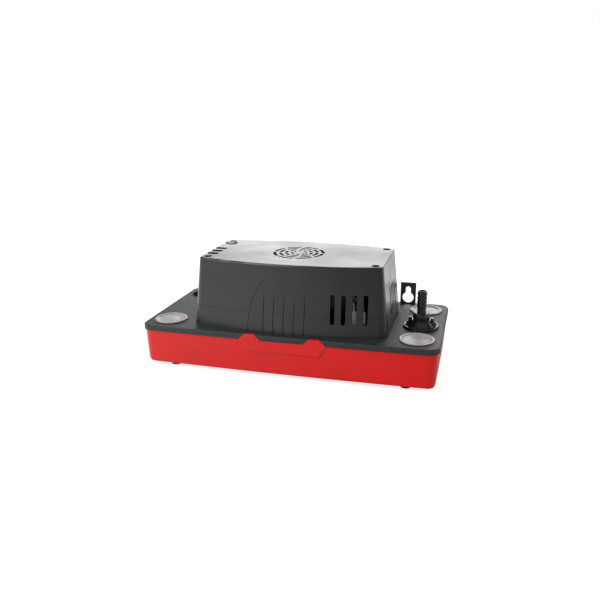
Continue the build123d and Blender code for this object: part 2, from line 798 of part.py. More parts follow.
bolt_seat_z = upper_bridge_z + bridge_sheet
bolt_foot_z = lid_top + post_height - bolt_grip
with BuildPart() as motor_bolts:
    with BuildSketch(Plane.XY.offset(bolt_foot_z)):
        with Locations(motor_axis):
            with GridLocations(2 * bolt_x, 2 * bolt_y, 2, 2):
                Circle(bolt_radius)
    extrude(amount=bolt_seat_z - bolt_foot_z)
    with BuildSketch(Plane.XY.offset(bolt_seat_z)):
        with Locations(motor_axis):
            with GridLocations(2 * bolt_x, 2 * bolt_y, 2, 2):
                RegularPolygon(bolt_head_radius, 6)
    extrude(amount=bolt_head_height)
motor_bolts.part.label = "motor_bolts"
export_step(motor_bolts.part, "parts/motor_bolts.step")

shaft_foot_z = impeller_blade_bottom
shaft_top_z = fan_bottom + fan_height
with BuildPart() as motor_shaft:
    with BuildSketch(Plane.XY.offset(shaft_foot_z)):
        with Locations(motor_axis):
            Circle(shaft_radius)
    extrude(amount=shaft_top_z - shaft_foot_z)
    chamfer(motor_shaft.edges().group_by(Axis.Z)[-1], 0.5)
motor_shaft.part.label = "motor_shaft"
export_step(motor_shaft.part, "parts/motor_shaft.step")

with BuildPart() as rotor_core:
    with BuildSketch(Plane.XY.offset(stack_bottom)):
        with Locations(motor_axis):
            Circle(rotor_radius)
    extrude(amount=stack_height)
    with BuildSketch(Plane.XY.offset(stack_bottom - end_ring_height)):
        with Locations(motor_axis):
            Circle(end_ring_radius)
    extrude(amount=stack_height + 2 * end_ring_height)
    with Locations((0, cover_y, stack_top + end_ring_height)):
        Hole(shaft_radius + seat_gap)
rotor_core.part.label = "rotor_core"
export_step(rotor_core.part, "parts/rotor_core.step")

with BuildPart() as fan:
    blade_plane = Plane(origin=(0, cover_y, fan_bottom + fan_height / 2), x_dir=(1, 0, 0), z_dir=(0, 0, 1))
    for number in range(fan_blades):
        turned = blade_plane.rotated((0, 0, number * 360 / fan_blades))
        with BuildSketch(Plane(origin=turned.origin, x_dir=turned.y_dir, z_dir=turned.x_dir)):
            with Locations(Rot(0, 0, fan_blade_angle)):
                Rectangle(fan_height / sin(radians(fan_blade_angle)), fan_blade_sheet)
        extrude(amount=fan_radius)
    with BuildSketch(Plane.XY.offset(fan_bottom)):
        with Locations(motor_axis):
            Circle(fan_radius)
    extrude(amount=fan_height, mode=Mode.INTERSECT)
    with BuildSketch(Plane.XY.offset(fan_bottom)):
        with Locations(motor_axis):
            Circle(fan_hub_radius)
    extrude(amount=fan_height)
    with Locations((0, cover_y, fan_bottom + fan_height)):
        Hole(shaft_radius + seat_gap)
fan.part.label = "fan"
export_step(fan.part, "parts/fan.step")

# ---------------------------------------------------------------- pump
# the outlet leaves the pump chamber on a tangent that runs straight to the check valve
outlet_offset = volute_cavity - pipe_bore
valve_run = hypot(valve_x, valve_y - cover_y)
outlet_turn = degrees(atan2(valve_y - cover_y, valve_x) + asin(outlet_offset / valve_run))
outlet_run = sqrt(valve_run**2 - outlet_offset**2)
volute_edge = sqrt(volute_radius**2 - outlet_offset**2)
snout_end = volute_edge + snout_length
outlet_start = Vector(0, cover_y, outlet_z) + Vector(0, -outlet_offset, 0).rotate(Axis.Z, outlet_turn)
outlet_direction = Vector(1, 0, 0).rotate(Axis.Z, outlet_turn)
outlet_plane = Plane(origin=outlet_start, x_dir=(0, 0, 1), z_dir=outlet_direction)

with BuildPart() as volute_housing:
    with BuildSketch(Plane.XY.offset(plate_top)):
        with Locations(motor_axis):
            Circle(volute_radius)
    extrude(amount=volute_top - plate_top)
    with BuildSketch(outlet_plane):
        Circle(socket_radius)
    extrude(amount=snout_end)
    with BuildSketch(Plane.XY.offset(plate_top)):
        with Locations(motor_axis):
            Circle(volute_cavity)
    extrude(amount=volute_top - plate_top - volute_roof, mode=Mode.SUBTRACT)
    with BuildSketch(outlet_plane):
        Circle(pipe_bore)
    extrude(amount=snout_end, mode=Mode.SUBTRACT)
    with BuildSketch(outlet_plane.offset(snout_end - socket_depth)):
        Circle(pipe_radius + seat_gap)
    extrude(amount=socket_depth, mode=Mode.SUBTRACT)
    with Locations((0, cover_y, volute_top)):
        Hole(shaft_radius + running_gap, volute_roof)
        with PolarLocations(column_circle, 4):
            Hole(pump_screw_radius + seat_gap, volute_top - plate_top)
volute_housing.part.label = "volute_housing"
export_step(volute_housing.part, "parts/volute_housing.step")

with BuildPart() as volute_plate:
    with BuildSketch(Plane.XY.offset(volute_floor)):
        with Locations(motor_axis):
            Circle(volute_radius)
            Circle(intake_radius, mode=Mode.SUBTRACT)
            Rectangle(2 * intake_radius + 1, intake_bar)
            Rectangle(intake_bar, 2 * intake_radius + 1)
            with PolarLocations(column_circle, 4):
                Circle(pump_screw_radius + seat_gap, mode=Mode.SUBTRACT)
    extrude(amount=volute_plate_sheet)
volute_plate.part.label = "volute_plate"
export_step(volute_plate.part, "parts/volute_plate.step")

with BuildPart() as volute_screws:
    with BuildSketch(Plane.XY.offset(volute_floor)):
        with Locations(motor_axis):
            with PolarLocations(column_circle, 4):
                Circle(pump_screw_radius)
    extrude(amount=volute_top - volute_floor + pump_screw_grip - 1)
    with BuildSketch(Plane.XY.offset(volute_floor)):
        with Locations(motor_axis):
            with PolarLocations(column_circle, 4):
                Circle(2 * pump_screw_radius)
    extrude(amount=-pump_screw_radius)
volute_screws.part.label = "volute_screws"
export_step(volute_screws.part, "parts/volute_screws.step")

with BuildPart() as impeller:
    with BuildSketch(Plane.XY.offset(impeller_blade_bottom)):
        for number in range(impeller_blades):
            turn = number * 360 / impeller_blades
            with BuildLine():
                ThreePointArc(
                    Vector(0, cover_y) + Vector(impeller_hub_radius - 1, 0).rotate(Axis.Z, turn),
                    Vector(0, cover_y) + Vector(impeller_radius * 0.62, 0).rotate(Axis.Z, turn - 14),
                    Vector(0, cover_y) + Vector(impeller_radius - 0.3, 0).rotate(Axis.Z, turn - 52),
                )
            trace(line_width=impeller_blade_sheet)
    extrude(amount=impeller_blade_height)
    with BuildSketch(Plane.XY.offset(impeller_blade_bottom + impeller_blade_height)):
        with Locations(motor_axis):
            Circle(impeller_radius)
    extrude(amount=impeller_disc)
    with BuildSketch(Plane.XY.offset(impeller_blade_bottom)):
        with Locations(motor_axis):
            Circle(impeller_hub_radius)
    extrude(amount=impeller_blade_height + impeller_disc)
    with Locations((0, cover_y, impeller_top)):
        Hole(shaft_radius + seat_gap)
impeller.part.label = "impeller"
export_step(impeller.part, "parts/impeller.step")

# ---------------------------------------------------------------- discharge: pipe, elbow, check valve
elbow_top = deck_under
elbow_cup_floor = lid_top - spigot_drop - slip_gap
elbow_body_radius = elbow_bore + elbow_wall
elbow_cup_radius = port_radius + elbow_wall
pipe_end = outlet_run - elbow_body_radius - 1
with BuildPart() as outlet_elbow:
    with BuildSketch(Plane.XY.offset(elbow_base)):
        with Locations((valve_x, valve_y)):
            Circle(elbow_body_radius)
    extrude(amount=elbow_cup_floor - elbow_base)
    with BuildSketch(Plane.XY.offset(elbow_cup_floor - elbow_wall)):
        with Locations((valve_x, valve_y)):
            Circle(elbow_cup_radius)
    extrude(amount=elbow_top - elbow_cup_floor + elbow_wall)
    with BuildSketch(Plane.XY.offset(elbow_top)):
        with Locations((valve_x, valve_y)):
            Circle(elbow_flange_radius + 1)
    extrude(amount=-elbow_flange)
    with BuildSketch(outlet_plane.offset(outlet_run)):
        Circle(socket_radius)
    extrude(amount=-outlet_run + pipe_end - socket_depth)
    with BuildSketch(Plane.XY.offset(elbow_base + elbow_wall)):
        with Locations((valve_x, valve_y)):
            Circle(elbow_bore)
    extrude(amount=elbow_cup_floor - elbow_base, mode=Mode.SUBTRACT)
    with BuildSketch(Plane.XY.offset(elbow_cup_floor)):
        with Locations((valve_x, valve_y)):
            Circle(port_radius)
    extrude(amount=elbow_top - elbow_cup_floor, mode=Mode.SUBTRACT)
    with BuildSketch(outlet_plane.offset(outlet_run)):
        Circle(pipe_bore)
    extrude(amount=-outlet_run + pipe_end - socket_depth, mode=Mode.SUBTRACT)
    with BuildSketch(outlet_plane.offset(pipe_end)):
        Circle(pipe_radius + seat_gap)
    extrude(amount=-socket_depth, mode=Mode.SUBTRACT)
outlet_elbow.part.label = "outlet_elbow"
export_step(outlet_elbow.part, "parts/outlet_elbow.step")

with BuildPart() as discharge_pipe:
    with BuildSketch(outlet_plane.offset(snout_end - socket_depth)):
        Circle(pipe_radius)
        Circle(pipe_bore, mode=Mode.SUBTRACT)
    extrude(amount=pipe_end - snout_end + socket_depth)
discharge_pipe.part.label = "discharge_pipe"
export_step(discharge_pipe.part, "parts/discharge_pipe.step")

groove_z = lid_top - 0.62 * spigot_drop
oring_circle = port_radius - oring_section - seat_gap
with BuildPart() as valve_body:
    with BuildSketch(Plane.XY.offset(lid_top)):
        with Locations((valve_x, valve_y)):
            Circle(valve_flange_radius)
    extrude(amount=valve_flange)
    chamfer(valve_body.edges().group_by(Axis.Z)[-1], 0.8)
    with BuildSketch(Plane.XY.offset(lid_top + valve_flange)):
        with Locations((valve_x, valve_y)):
            Circle(valve_hub_radius)
    extrude(amount=valve_hub_height)
    with Locations((valve_x, valve_y, lid_top + valve_flange)):
        Cone(
            valve_flange_radius - 4,
            valve_hub_radius,
            valve_cone_height,
            align=(Align.CENTER, Align.CENTER, Align.MIN),
        )
    # ribs that run from the hub down to the flange, and a finger lug on each side
    for number in range(valve_ribs):
        rib_direction = Vector(1, 0, 0).rotate(Axis.Z, (number + 0.5) * 360 / valve_ribs)
        rib_plane = Plane(
            origin=(valve_x, valve_y, lid_top + valve_flange),
            x_dir=rib_direction,
            z_dir=rib_direction.cross(Vector(0, 0, 1)),
        )
        with BuildSketch(rib_plane):
            with BuildLine():
                Polyline(
                    (valve_hub_radius - 1, 0),
                    (valve_flange_radius - 1.5, 0),
                    (valve_hub_radius, valve_hub_height - 0.8),
                    (valve_hub_radius - 1, valve_hub_height - 0.8),
                    close=True,
                )
            make_face()
        extrude(amount=valve_rib_sheet / 2, both=True)
    with BuildSketch(Plane.XY.offset(lid_top + valve_flange)):
        with Locations((valve_x, valve_y)):
            with GridLocations(2 * lug_circle, 0, 2, 1):
                Circle(lug_radius)
    extrude(amount=lug_height)
    # spigot with the O-ring groove, chamber, seat and the thread of the hose barb
    with BuildSketch(Plane.XY.offset(lid_top - spigot_drop)):
        with Locations((valve_x, valve_y)):
            Circle(spigot_radius)
    extrude(amount=spigot_drop)
    with BuildSketch(Plane.XY.offset(groove_z - oring_section - seat_gap)):
        with Locations((valve_x, valve_y)):
            Circle(spigot_radius + 1)
            Circle(oring_circle - oring_section - seat_gap, mode=Mode.SUBTRACT)
    extrude(amount=2 * (oring_section + seat_gap), mode=Mode.SUBTRACT)
    with BuildSketch(Plane.XY.offset(lid_top - spigot_drop)):
        with Locations((valve_x, valve_y)):
            Circle(seat_radius)
    extrude(amount=spigot_floor, mode=Mode.SUBTRACT)
    with BuildSketch(Plane.XY.offset(seat_z)):
        with Locations((valve_x, valve_y)):
            Circle(chamber_radius)
    extrude(amount=hub_top - seat_z, mode=Mode.SUBTRACT)
    with BuildSketch(Plane.XY.offset(hub_top - thread_length)):
        with Locations((valve_x, valve_y)):
            Circle(thread_radius + seat_gap)
    extrude(amount=thread_length, mode=Mode.SUBTRACT)
valve_body.part.label = "valve_body"
export_step(valve_body.part, "parts/valve_body.step")

with BuildPart() as valve_oring:
    with BuildSketch(Plane.XZ.offset(-valve_y)):
        with Locations((valve_x + oring_circle, groove_z)):
            Circle(oring_section)
    revolve(axis=Axis((valve_x, valve_y, 0), (0, 0, 1)))
valve_oring.part.label = "valve_oring"
export_step(valve_oring.part, "parts/valve_oring.step")

with BuildPart() as valve_ball:
    with Locations((valve_x, valve_y, ball_z)):
        Sphere(ball_radius)
        # the two poles carry small moulding flats
        Cylinder(ball_radius, 2 * (ball_radius - ball_flat), mode=Mode.INTERSECT)
valve_ball.part.label = "valve_ball"
export_step(valve_ball.part, "parts/valve_ball.step")

hex_top = hub_top + hex_height
barb_end = lid_top + barb_top
with BuildPart() as hose_barb:
    with BuildSketch(Plane.XY.offset(hub_top)):
        with Locations((valve_x, valve_y)):
            RegularPolygon(hex_flats / 2, 6, major_radius=False)
    extrude(amount=hex_height)
    with BuildSketch(Plane.XY.offset(hub_top)):
        with Locations((valve_x, valve_y)):
            Circle(thread_radius)
    extrude(amount=-thread_length)
    with BuildSketch(Plane.XZ.offset(-valve_y)):
        with BuildLine():
            barb_points = [(valve_x, barb_end), (valve_x + barb_stem_radius - 0.5, barb_end)]
            for number in range(barb_count):
                crest_z = barb_end - 0.8 - number * barb_pitch
                barb_points += [
                    (valve_x + barb_crest, crest_z - 0.55 * barb_pitch),
                    (valve_x + barb_crest, crest_z - 0.75 * barb_pitch),
                    (valve_x + barb_stem_radius, crest_z - 0.75 * barb_pitch),
                    (valve_x + barb_stem_radius, crest_z - barb_pitch),
                ]
            Polyline(barb_points + [(valve_x + barb_stem_radius, hex_top), (valve_x, hex_top)], close=True)
        make_face()
    revolve(axis=Axis((valve_x, valve_y, 0), (0, 0, 1)))
    with Locations((valve_x, valve_y, barb_end)):
        Hole(barb_bore)
    # water passes the lifted ball through a cross slot in the foot
    with BuildSketch(Plane.XY.offset(hub_top - thread_length)):
        with Locations((valve_x, valve_y)):
            Rectangle(2 * thread_radius - 2, 2)
            Rectangle(2, 2 * thread_radius - 2)
    extrude(amount=thread_length / 2, mode=Mode.SUBTRACT)
hose_barb.part.label = "hose_barb"
export_step(hose_barb.part, "parts/hose_barb.step")

# ---------------------------------------------------------------- float and its hinge
hinge_base_z = deck_under - hinge_base_sheet
ear_ys = (arm_rear_y + running_gap, arm_rear_y - arm_sheet - running_gap - ear_sheet)
with BuildPart() as float_hinge:
    with BuildSketch(Plane.XY.offset(hinge_base_z)):
        with Locations((pivot_x, arm_rear_y - arm_sheet / 2)):
            Rectangle(ear_length, arm_sheet + 2 * running_gap + 2 * ear_sheet)
    extrude(amount=hinge_base_sheet)
    for ear_y in ear_ys:
        with BuildSketch(Plane.XZ.offset(-ear_y)):
            with Locations((pivot_x, pivot_z)):
                Circle(arm_eye_radius)
            with Locations((pivot_x, (pivot_z + hinge_base_z) / 2)):
                Rectangle(2 * arm_eye_radius, hinge_base_z - pivot_z)
            with Locations((pivot_x, pivot_z)):
                Circle(hinge_pin_radius + seat_gap, mode=Mode.SUBTRACT)
        extrude(amount=-ear_sheet)
float_hinge.part.label = "float_hinge"
export_step(float_hinge.part, "parts/float_hinge.step")

pin_length = arm_sheet + 2 * running_gap + 2 * ear_sheet + 1
with BuildPart() as hinge_pin:
    with BuildSketch(Plane.XZ.offset(-(arm_rear_y - arm_sheet / 2 + pin_length / 2))):
        with Locations((pivot_x, pivot_z)):
            Circle(hinge_pin_radius)
    extrude(amount=pin_length)
hinge_pin.part.label = "hinge_pin"
export_step(hinge_pin.part, "parts/hinge_pin.step")

# the link pin slides along a slot in the arm, because the rod moves straight while the arm swings
arm_reach = pivot_x - rod_x
arm_swing = rod_travel / arm_reach
slot_run = 2 * (arm_reach - hypot(arm_reach, (pivot_z - link_z) / 2) * cos(arm_swing))
slot_radius = link_pin_radius + running_gap
float_x = rod_x + float_offset
foot_x = float_x + arm_foot_length / 2
with BuildPart() as float_arm:
    with BuildSketch(Plane.XZ.offset(-arm_rear_y)):
        with Locations((pivot_x, pivot_z)):
            Circle(arm_eye_radius)
        with Locations((rod_x + slot_run / 2, link_z)):
            Circle(slot_radius + 2.4)
        make_hull()
        with Locations((foot_x, (float_top + link_z) / 2)):
            Rectangle(arm_foot_length, link_z - float_top + 2)
        with Locations((pivot_x, pivot_z)):
            Circle(hinge_pin_radius + pin_fit, mode=Mode.SUBTRACT)
        with Locations((rod_x + slot_run / 2, link_z)):
            SlotCenterToCenter(slot_run, 2 * slot_radius, mode=Mode.SUBTRACT)
    extrude(amount=arm_sheet)
    split(bisect_by=Plane.XY.offset(float_top), keep=Keep.TOP)
    with BuildSketch(Plane.XY.offset(float_top)):
        with Locations((foot_x, arm_rear_y - arm_sheet / 2)):
            RectangleRounded(arm_foot_length, arm_foot_width, 2)
    extrude(amount=arm_foot_sheet)
float_arm.part.label = "float_arm"
export_step(float_arm.part, "parts/float_arm.step")

with BuildPart() as float_block:
    with BuildSketch(Plane.XY.offset(float_bottom)):
        with Locations((float_x, arm_rear_y - arm_sheet / 2)):
            RectangleRounded(float_length, float_width, 2 * float_round)
    extrude(amount=float_height)
    fillet(float_block.edges().group_by(Axis.Z)[-1], float_round / 2)
    fillet(float_block.edges().group_by(Axis.Z)[0], float_round / 2)
float_block.part.label = "float_block"
export_step(float_block.part, "parts/float_block.step")

# ---------------------------------------------------------------- test rod with its cams
recess_z = cover_top - recess_depth
grip_z = recess_z + grip_lift
rod_top = grip_z + grip_cover
with BuildPart() as test_rod:
    with BuildSketch(Plane.XY.offset(link_z - rod_tail)):
        with Locations((rod_x, rod_y)):
            Circle(rod_radius)
    extrude(amount=rod_top - link_z + rod_tail)
    for plunger_z, travel in ((run_plunger_z, run_travel), (safety_plunger_z, safety_travel)):
        cam_slope = travel / rod_travel
        cam_foot_x = switch_x - cam_gap
        with BuildSketch(Plane.XZ.offset(-rod_y - rod_radius)):
            with BuildLine():
                Polyline(
                    (rod_x, plunger_z - cam_below),
                    (cam_foot_x, plunger_z - cam_below),
                    (cam_foot_x - cam_slope * (cam_below + cam_above), plunger_z + cam_above),
                    (rod_x, plunger_z + cam_above),
                    close=True,
                )
            make_face()
        extrude(amount=2 * rod_radius)
    with BuildSketch(Plane.XZ.offset(-rod_y - rod_radius)):
        with Locations((rod_x, link_z)):
            Circle(link_pin_radius + seat_gap)
    extrude(amount=2 * rod_radius, mode=Mode.SUBTRACT)
test_rod.part.label = "test_rod"
export_step(test_rod.part, "parts/test_rod.step")

link_pin_rear = rod_y + rod_radius
with BuildPart() as link_pin:
    with BuildSketch(Plane.XZ.offset(-link_pin_rear)):
        with Locations((rod_x, link_z)):
            Circle(link_pin_radius)
    extrude(amount=link_pin_rear - arm_rear_y + arm_sheet + 1)
link_pin.part.label = "link_pin"
export_step(link_pin.part, "parts/link_pin.step")

with BuildPart() as test_grip:
    with BuildSketch(Plane.XY.offset(grip_z)):
        with Locations((rod_x, rod_y)):
            RectangleRounded(grip_length, grip_width, 1)
    extrude(amount=grip_height)
    fillet(test_grip.edges().group_by(Axis.Z)[-1], 0.6)
    with BuildSketch(Plane.XY.offset(grip_z)):
        with Locations((rod_x, rod_y)):
            Circle(rod_radius + seat_gap)
    extrude(amount=grip_cover, mode=Mode.SUBTRACT)
test_grip.part.label = "test_grip"
export_step(test_grip.part, "parts/test_grip.step")

# ---------------------------------------------------------------- switches
switch_y = rod_y - switch_plunger_offset
for switch_name, plunger_name, plunger_z, travel in (
    ("run_switch", "run_plunger", run_plunger_z, run_travel),
    ("safety_switch", "safety_plunger", safety_plunger_z, safety_travel),
):
    tip_x = switch_x - cam_gap - travel / rod_travel * cam_below + plunger_gap
    plunger_bore_end = tip_x + plunger_length + travel + running_gap
    with BuildPart() as switch:
        with BuildSketch(Plane.XY.offset(plunger_z - switch_height / 2)):
            with Locations((switch_x + switch_depth / 2, switch_y)):
                Rectangle(switch_depth, switch_length)
            with Locations((switch_x + switch_screw_x, switch_y)):
                with GridLocations(0, switch_screw_pitch, 1, 2):
                    Circle(switch_screw_radius + seat_gap, mode=Mode.SUBTRACT)
        extrude(amount=switch_height)
        with BuildSketch(Plane.YZ.offset(switch_x)):
            with Locations((rod_y, plunger_z)):
                Circle(plunger_radius + running_gap)
        extrude(amount=plunger_bore_end - switch_x, mode=Mode.SUBTRACT)
        with BuildSketch(Plane.YZ.offset(switch_x + switch_depth)):
            with Locations((switch_y, plunger_z)):
                with GridLocations(switch_length / 3, 0, 3, 1):
                    Rectangle(switch_blade_sheet, switch_blade_width)
        extrude(amount=switch_blade_length)
    switch.part.label = switch_name
    export_step(switch.part, f"parts/{switch_name}.step")
    with BuildPart() as plunger:
        with BuildSketch(Plane.YZ.offset(tip_x)):
            with Locations((rod_y, plunger_z)):
                Circle(plunger_radius)
        extrude(amount=plunger_length)
        fillet(plunger.edges().group_by(Axis.X)[0], plunger_radius / 2)
    plunger.part.label = plunger_name
    export_step(plunger.part, f"parts/{plunger_name}.step")

spacer_z = run_plunger_z + switch_height / 2
with BuildPart() as switch_spacers:
    with BuildSketch(Plane.XY.offset(spacer_z)):
        with Locations((switch_x + switch_screw_x, switch_y)):
            with GridLocations(0, switch_screw_pitch, 1, 2):
                Circle(2 * switch_screw_radius)
                Circle(switch_screw_radius + seat_gap, mode=Mode.SUBTRACT)
    extrude(amount=switch_spacer_height)
switch_spacers.part.label = "switch_spacers"
export_step(switch_spacers.part, "parts/switch_spacers.step")

switch_stack_top = safety_plunger_z + switch_height / 2
with BuildPart() as switch_screws:
    with BuildSketch(Plane.XY.offset(lid_top + 1)):
        with Locations((switch_x + switch_screw_x, switch_y)):
            with GridLocations(0, switch_screw_pitch, 1, 2):
                Circle(switch_screw_radius)
    extrude(amount=switch_stack_top - lid_top - 1)
    with BuildSketch(Plane.XY.offset(switch_stack_top)):
        with Locations((switch_x + switch_screw_x, switch_y)):
            with GridLocations(0, switch_screw_pitch, 1, 2):
                Circle(2 * switch_screw_radius)
    extrude(amount=switch_screw_radius)
switch_screws.part.label = "switch_screws"
export_step(switch_screws.part, "parts/switch_screws.step")

# ---------------------------------------------------------------- wiring inside the cover
with BuildPart() as lead_clip:
    with BuildSketch(Plane.XY.offset(lid_top)):
        with Locations((clip_x, clip_y)):
            RectangleRounded(clip_length, clip_width, 1)
    extrude(amount=clip_height)
lead_clip.part.label = "lead_clip"
export_step(lead_clip.part, "parts/lead_clip.step")

splice_z = lid_top + clip_height
with BuildPart() as splice_caps:
    with BuildSketch(Plane.XY.offset(splice_z)):
        with Locations((clip_x, clip_y)):
            with GridLocations(splice_pitch, 0, 2, 1):
                Circle(splice_radius)
    extrude(amount=splice_height)
    fillet(splice_caps.edges().group_by(Axis.Z)[-1], 1)
splice_caps.part.label = "splice_caps"
export_step(splice_caps.part, "parts/splice_caps.step")

with BuildPart() as coil_leads:
    for side in (-1, 1):
        start = Vector(clip_x + side * splice_pitch / 2, clip_y, splice_z + splice_height)
        end = Vector(core_x + side * 3, cover_y - bobbin_length / 2, stack_top + winding_thickness / 2)
        over = start + Vector(0, 0, lead_rise)
        beside = end + Vector(0, -lead_rise, 0)
        with BuildLine() as lead_line:
            FilletPolyline(start, over, beside, end, radius=3 * lead_radius)
        with BuildSketch(Plane(origin=lead_line.line @ 0, z_dir=lead_line.line % 0)):
            Circle(lead_radius)
        sweep(path=lead_line.line)
coil_leads.part.label = "coil_leads"
export_step(coil_leads.part, "parts/coil_leads.step")
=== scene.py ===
import bpy
import bmesh
import json
import math
from mathutils import Matrix, Vector


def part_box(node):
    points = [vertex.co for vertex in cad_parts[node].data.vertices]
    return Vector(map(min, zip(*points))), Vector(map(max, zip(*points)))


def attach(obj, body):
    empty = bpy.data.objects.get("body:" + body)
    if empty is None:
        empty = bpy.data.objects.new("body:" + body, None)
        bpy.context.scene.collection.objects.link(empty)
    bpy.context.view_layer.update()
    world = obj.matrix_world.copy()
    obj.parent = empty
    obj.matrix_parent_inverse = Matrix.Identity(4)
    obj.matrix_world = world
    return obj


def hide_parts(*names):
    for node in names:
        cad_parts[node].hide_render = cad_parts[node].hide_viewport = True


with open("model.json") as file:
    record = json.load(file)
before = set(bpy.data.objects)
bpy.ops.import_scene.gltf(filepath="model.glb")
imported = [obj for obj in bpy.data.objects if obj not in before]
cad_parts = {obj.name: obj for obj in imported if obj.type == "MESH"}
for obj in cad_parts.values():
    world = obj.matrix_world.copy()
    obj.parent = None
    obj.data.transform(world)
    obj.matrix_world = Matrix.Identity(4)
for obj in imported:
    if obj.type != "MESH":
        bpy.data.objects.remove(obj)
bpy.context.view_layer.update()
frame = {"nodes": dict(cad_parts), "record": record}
cadNodes = frame["nodes"]
bodyOfNode = {}
for bodyName, members in frame["record"]["behaviour"]["bodies"].items():
    for member in members:
        bodyOfNode[member] = bodyName
print("frame loaded:", len(cadNodes), "nodes")


# every pattern sits on Object coordinates, in metres
def startMaterial(name, roughness, specular=0.5):
    material = bpy.data.materials.new(name)
    material.use_nodes = True
    tree = material.node_tree
    shader = tree.nodes["Principled BSDF"]
    shader.inputs["Roughness"].default_value = roughness
    shader.inputs["Specular IOR Level"].default_value = specular
    place = tree.nodes.new("ShaderNodeTexCoord")
    return material, tree, shader, place.outputs["Object"]


def addNoise(tree, place, scale, detail=3.0, roughness=0.5, stretch=None):
    if stretch is not None:
        mapping = tree.nodes.new("ShaderNodeMapping")
        mapping.inputs["Scale"].default_value = stretch
        tree.links.new(place, mapping.inputs["Vector"])
        place = mapping.outputs["Vector"]
    noise = tree.nodes.new("ShaderNodeTexNoise")
    noise.inputs["Scale"].default_value = scale
    noise.inputs["Detail"].default_value = detail
    noise.inputs["Roughness"].default_value = roughness
    tree.links.new(place, noise.inputs["Vector"])
    return noise.outputs["Fac"]


def addRamp(tree, value, stops):
    ramp = tree.nodes.new("ShaderNodeValToRGB")
    ramp.color_ramp.elements[0].position = stops[0][0]
    ramp.color_ramp.elements[0].color = (*stops[0][1], 1)
    ramp.color_ramp.elements[1].position = stops[-1][0]
    ramp.color_ramp.elements[1].color = (*stops[-1][1], 1)
    for position, colour in stops[1:-1]:
        ramp.color_ramp.elements.new(position).color = (*colour, 1)
    tree.links.new(value, ramp.inputs["Fac"])
    return ramp.outputs["Color"]


def addRange(tree, value, low, high, fromLow=0.3, fromHigh=0.7):
    remap = tree.nodes.new("ShaderNodeMapRange")
    remap.inputs["From Min"].default_value = fromLow
    remap.inputs["From Max"].default_value = fromHigh
    remap.inputs["To Min"].default_value = low
    remap.inputs["To Max"].default_value = high
    tree.links.new(value, remap.inputs["Value"])
    return remap.outputs["Result"]


def addBump(tree, shader, height, distance, strength=1.0, under=None):
    bump = tree.nodes.new("ShaderNodeBump")
    bump.inputs["Distance"].default_value = distance
    bump.inputs["Strength"].default_value = strength
    tree.links.new(height, bump.inputs["Height"])
    if under is not None:
        tree.links.new(under, bump.inputs["Normal"])
    tree.links.new(bump.outputs["Normal"], shader.inputs["Normal"])
    return bump.outputs["Normal"]


def shade(colour, factor):
    return tuple(min(1.0, part * factor) for part in colour)


# moulded plastic: slow colour drift, a pebble grain in bump and a little in colour
def mouldedPlastic(
    name, colour, roughness, grain, grainDepth, drift=0.12, fleck=0.1, specular=0.5, ripple=0.0
):
    material, tree, shader, place = startMaterial(name, roughness, specular)
    wide = addNoise(tree, place, scale=22, detail=2)
    fine = addNoise(tree, place, grain, detail=2, roughness=0.6)
    broad = addRamp(tree, wide, [(0.3, shade(colour, 1 - drift)), (0.7, shade(colour, 1 + drift))])
    speck = addRamp(tree, fine, [(0.35, (1 - fleck,) * 3), (0.65, (1 + fleck,) * 3)])
    blend = tree.nodes.new("ShaderNodeMix")
    blend.data_type = "RGBA"
    blend.blend_type = "MULTIPLY"
    blend.inputs["Factor"].default_value = 1
    tree.links.new(broad, blend.inputs["A"])
    tree.links.new(speck, blend.inputs["B"])
    tree.links.new(blend.outputs["Result"], shader.inputs["Base Color"])
    tree.links.new(addRange(tree, wide, roughness - 0.04, roughness + 0.05), shader.inputs["Roughness"])
    under = None
    if ripple:
        # long shallow sink marks, as a thin moulding has over its ribs
        sink = addNoise(tree, place, scale=26, detail=3, roughness=0.55, stretch=(1, 2.2, 1))
        under = addBump(tree, shader, sink, ripple, 0.35)
    addBump(tree, shader, fine, grainDepth, 1.0, under)
    return material


# gloss mouldings: barely any grain, faint flow lines and a few wipe marks in the sheen
def glossPlastic(name, colour, roughness, flow=90, flowDepth=0.00002, specular=0.5):
    material, tree, shader, place = startMaterial(name, roughness, specular)
    wide = addNoise(tree, place, scale=14, detail=2)
    lines = addNoise(tree, place, flow, detail=3, roughness=0.5, stretch=(1, 1, 3.5))
    wipe = addNoise(tree, place, scale=160, detail=4, roughness=0.6, stretch=(0.25, 0.6, 1))
    colours = addRamp(tree, wide, [(0.3, shade(colour, 0.94)), (0.7, shade(colour, 1.05))])
    tree.links.new(colours, shader.inputs["Base Color"])
    sheen = addRange(tree, wipe, roughness - 0.03, roughness + 0.08, fromLow=0.35, fromHigh=0.75)
    tree.links.new(sheen, shader.inputs["Roughness"])
    addBump(tree, shader, lines, flowDepth)
    return material


# plated or bare metal with a brushed or cast grain
def workedMetal(name, colour, roughness, stretch=(1, 1, 1), grain=500, depth=0.00003, metallic=1.0):
    material, tree, shader, place = startMaterial(name, roughness)
    shader.inputs["Metallic"].default_value = metallic
    wide = addNoise(tree, place, scale=60, detail=3)
    brushed = addNoise(tree, place, grain, detail=3, roughness=0.6, stretch=stretch)
    colours = addRamp(tree, wide, [(0.3, shade(colour, 0.86)), (0.72, shade(colour, 1.08))])
    tree.links.new(colours, shader.inputs["Base Color"])
    tree.links.new(addRange(tree, brushed, roughness - 0.08, roughness + 0.1), shader.inputs["Roughness"])
    addBump(tree, shader, brushed, depth)
    return material


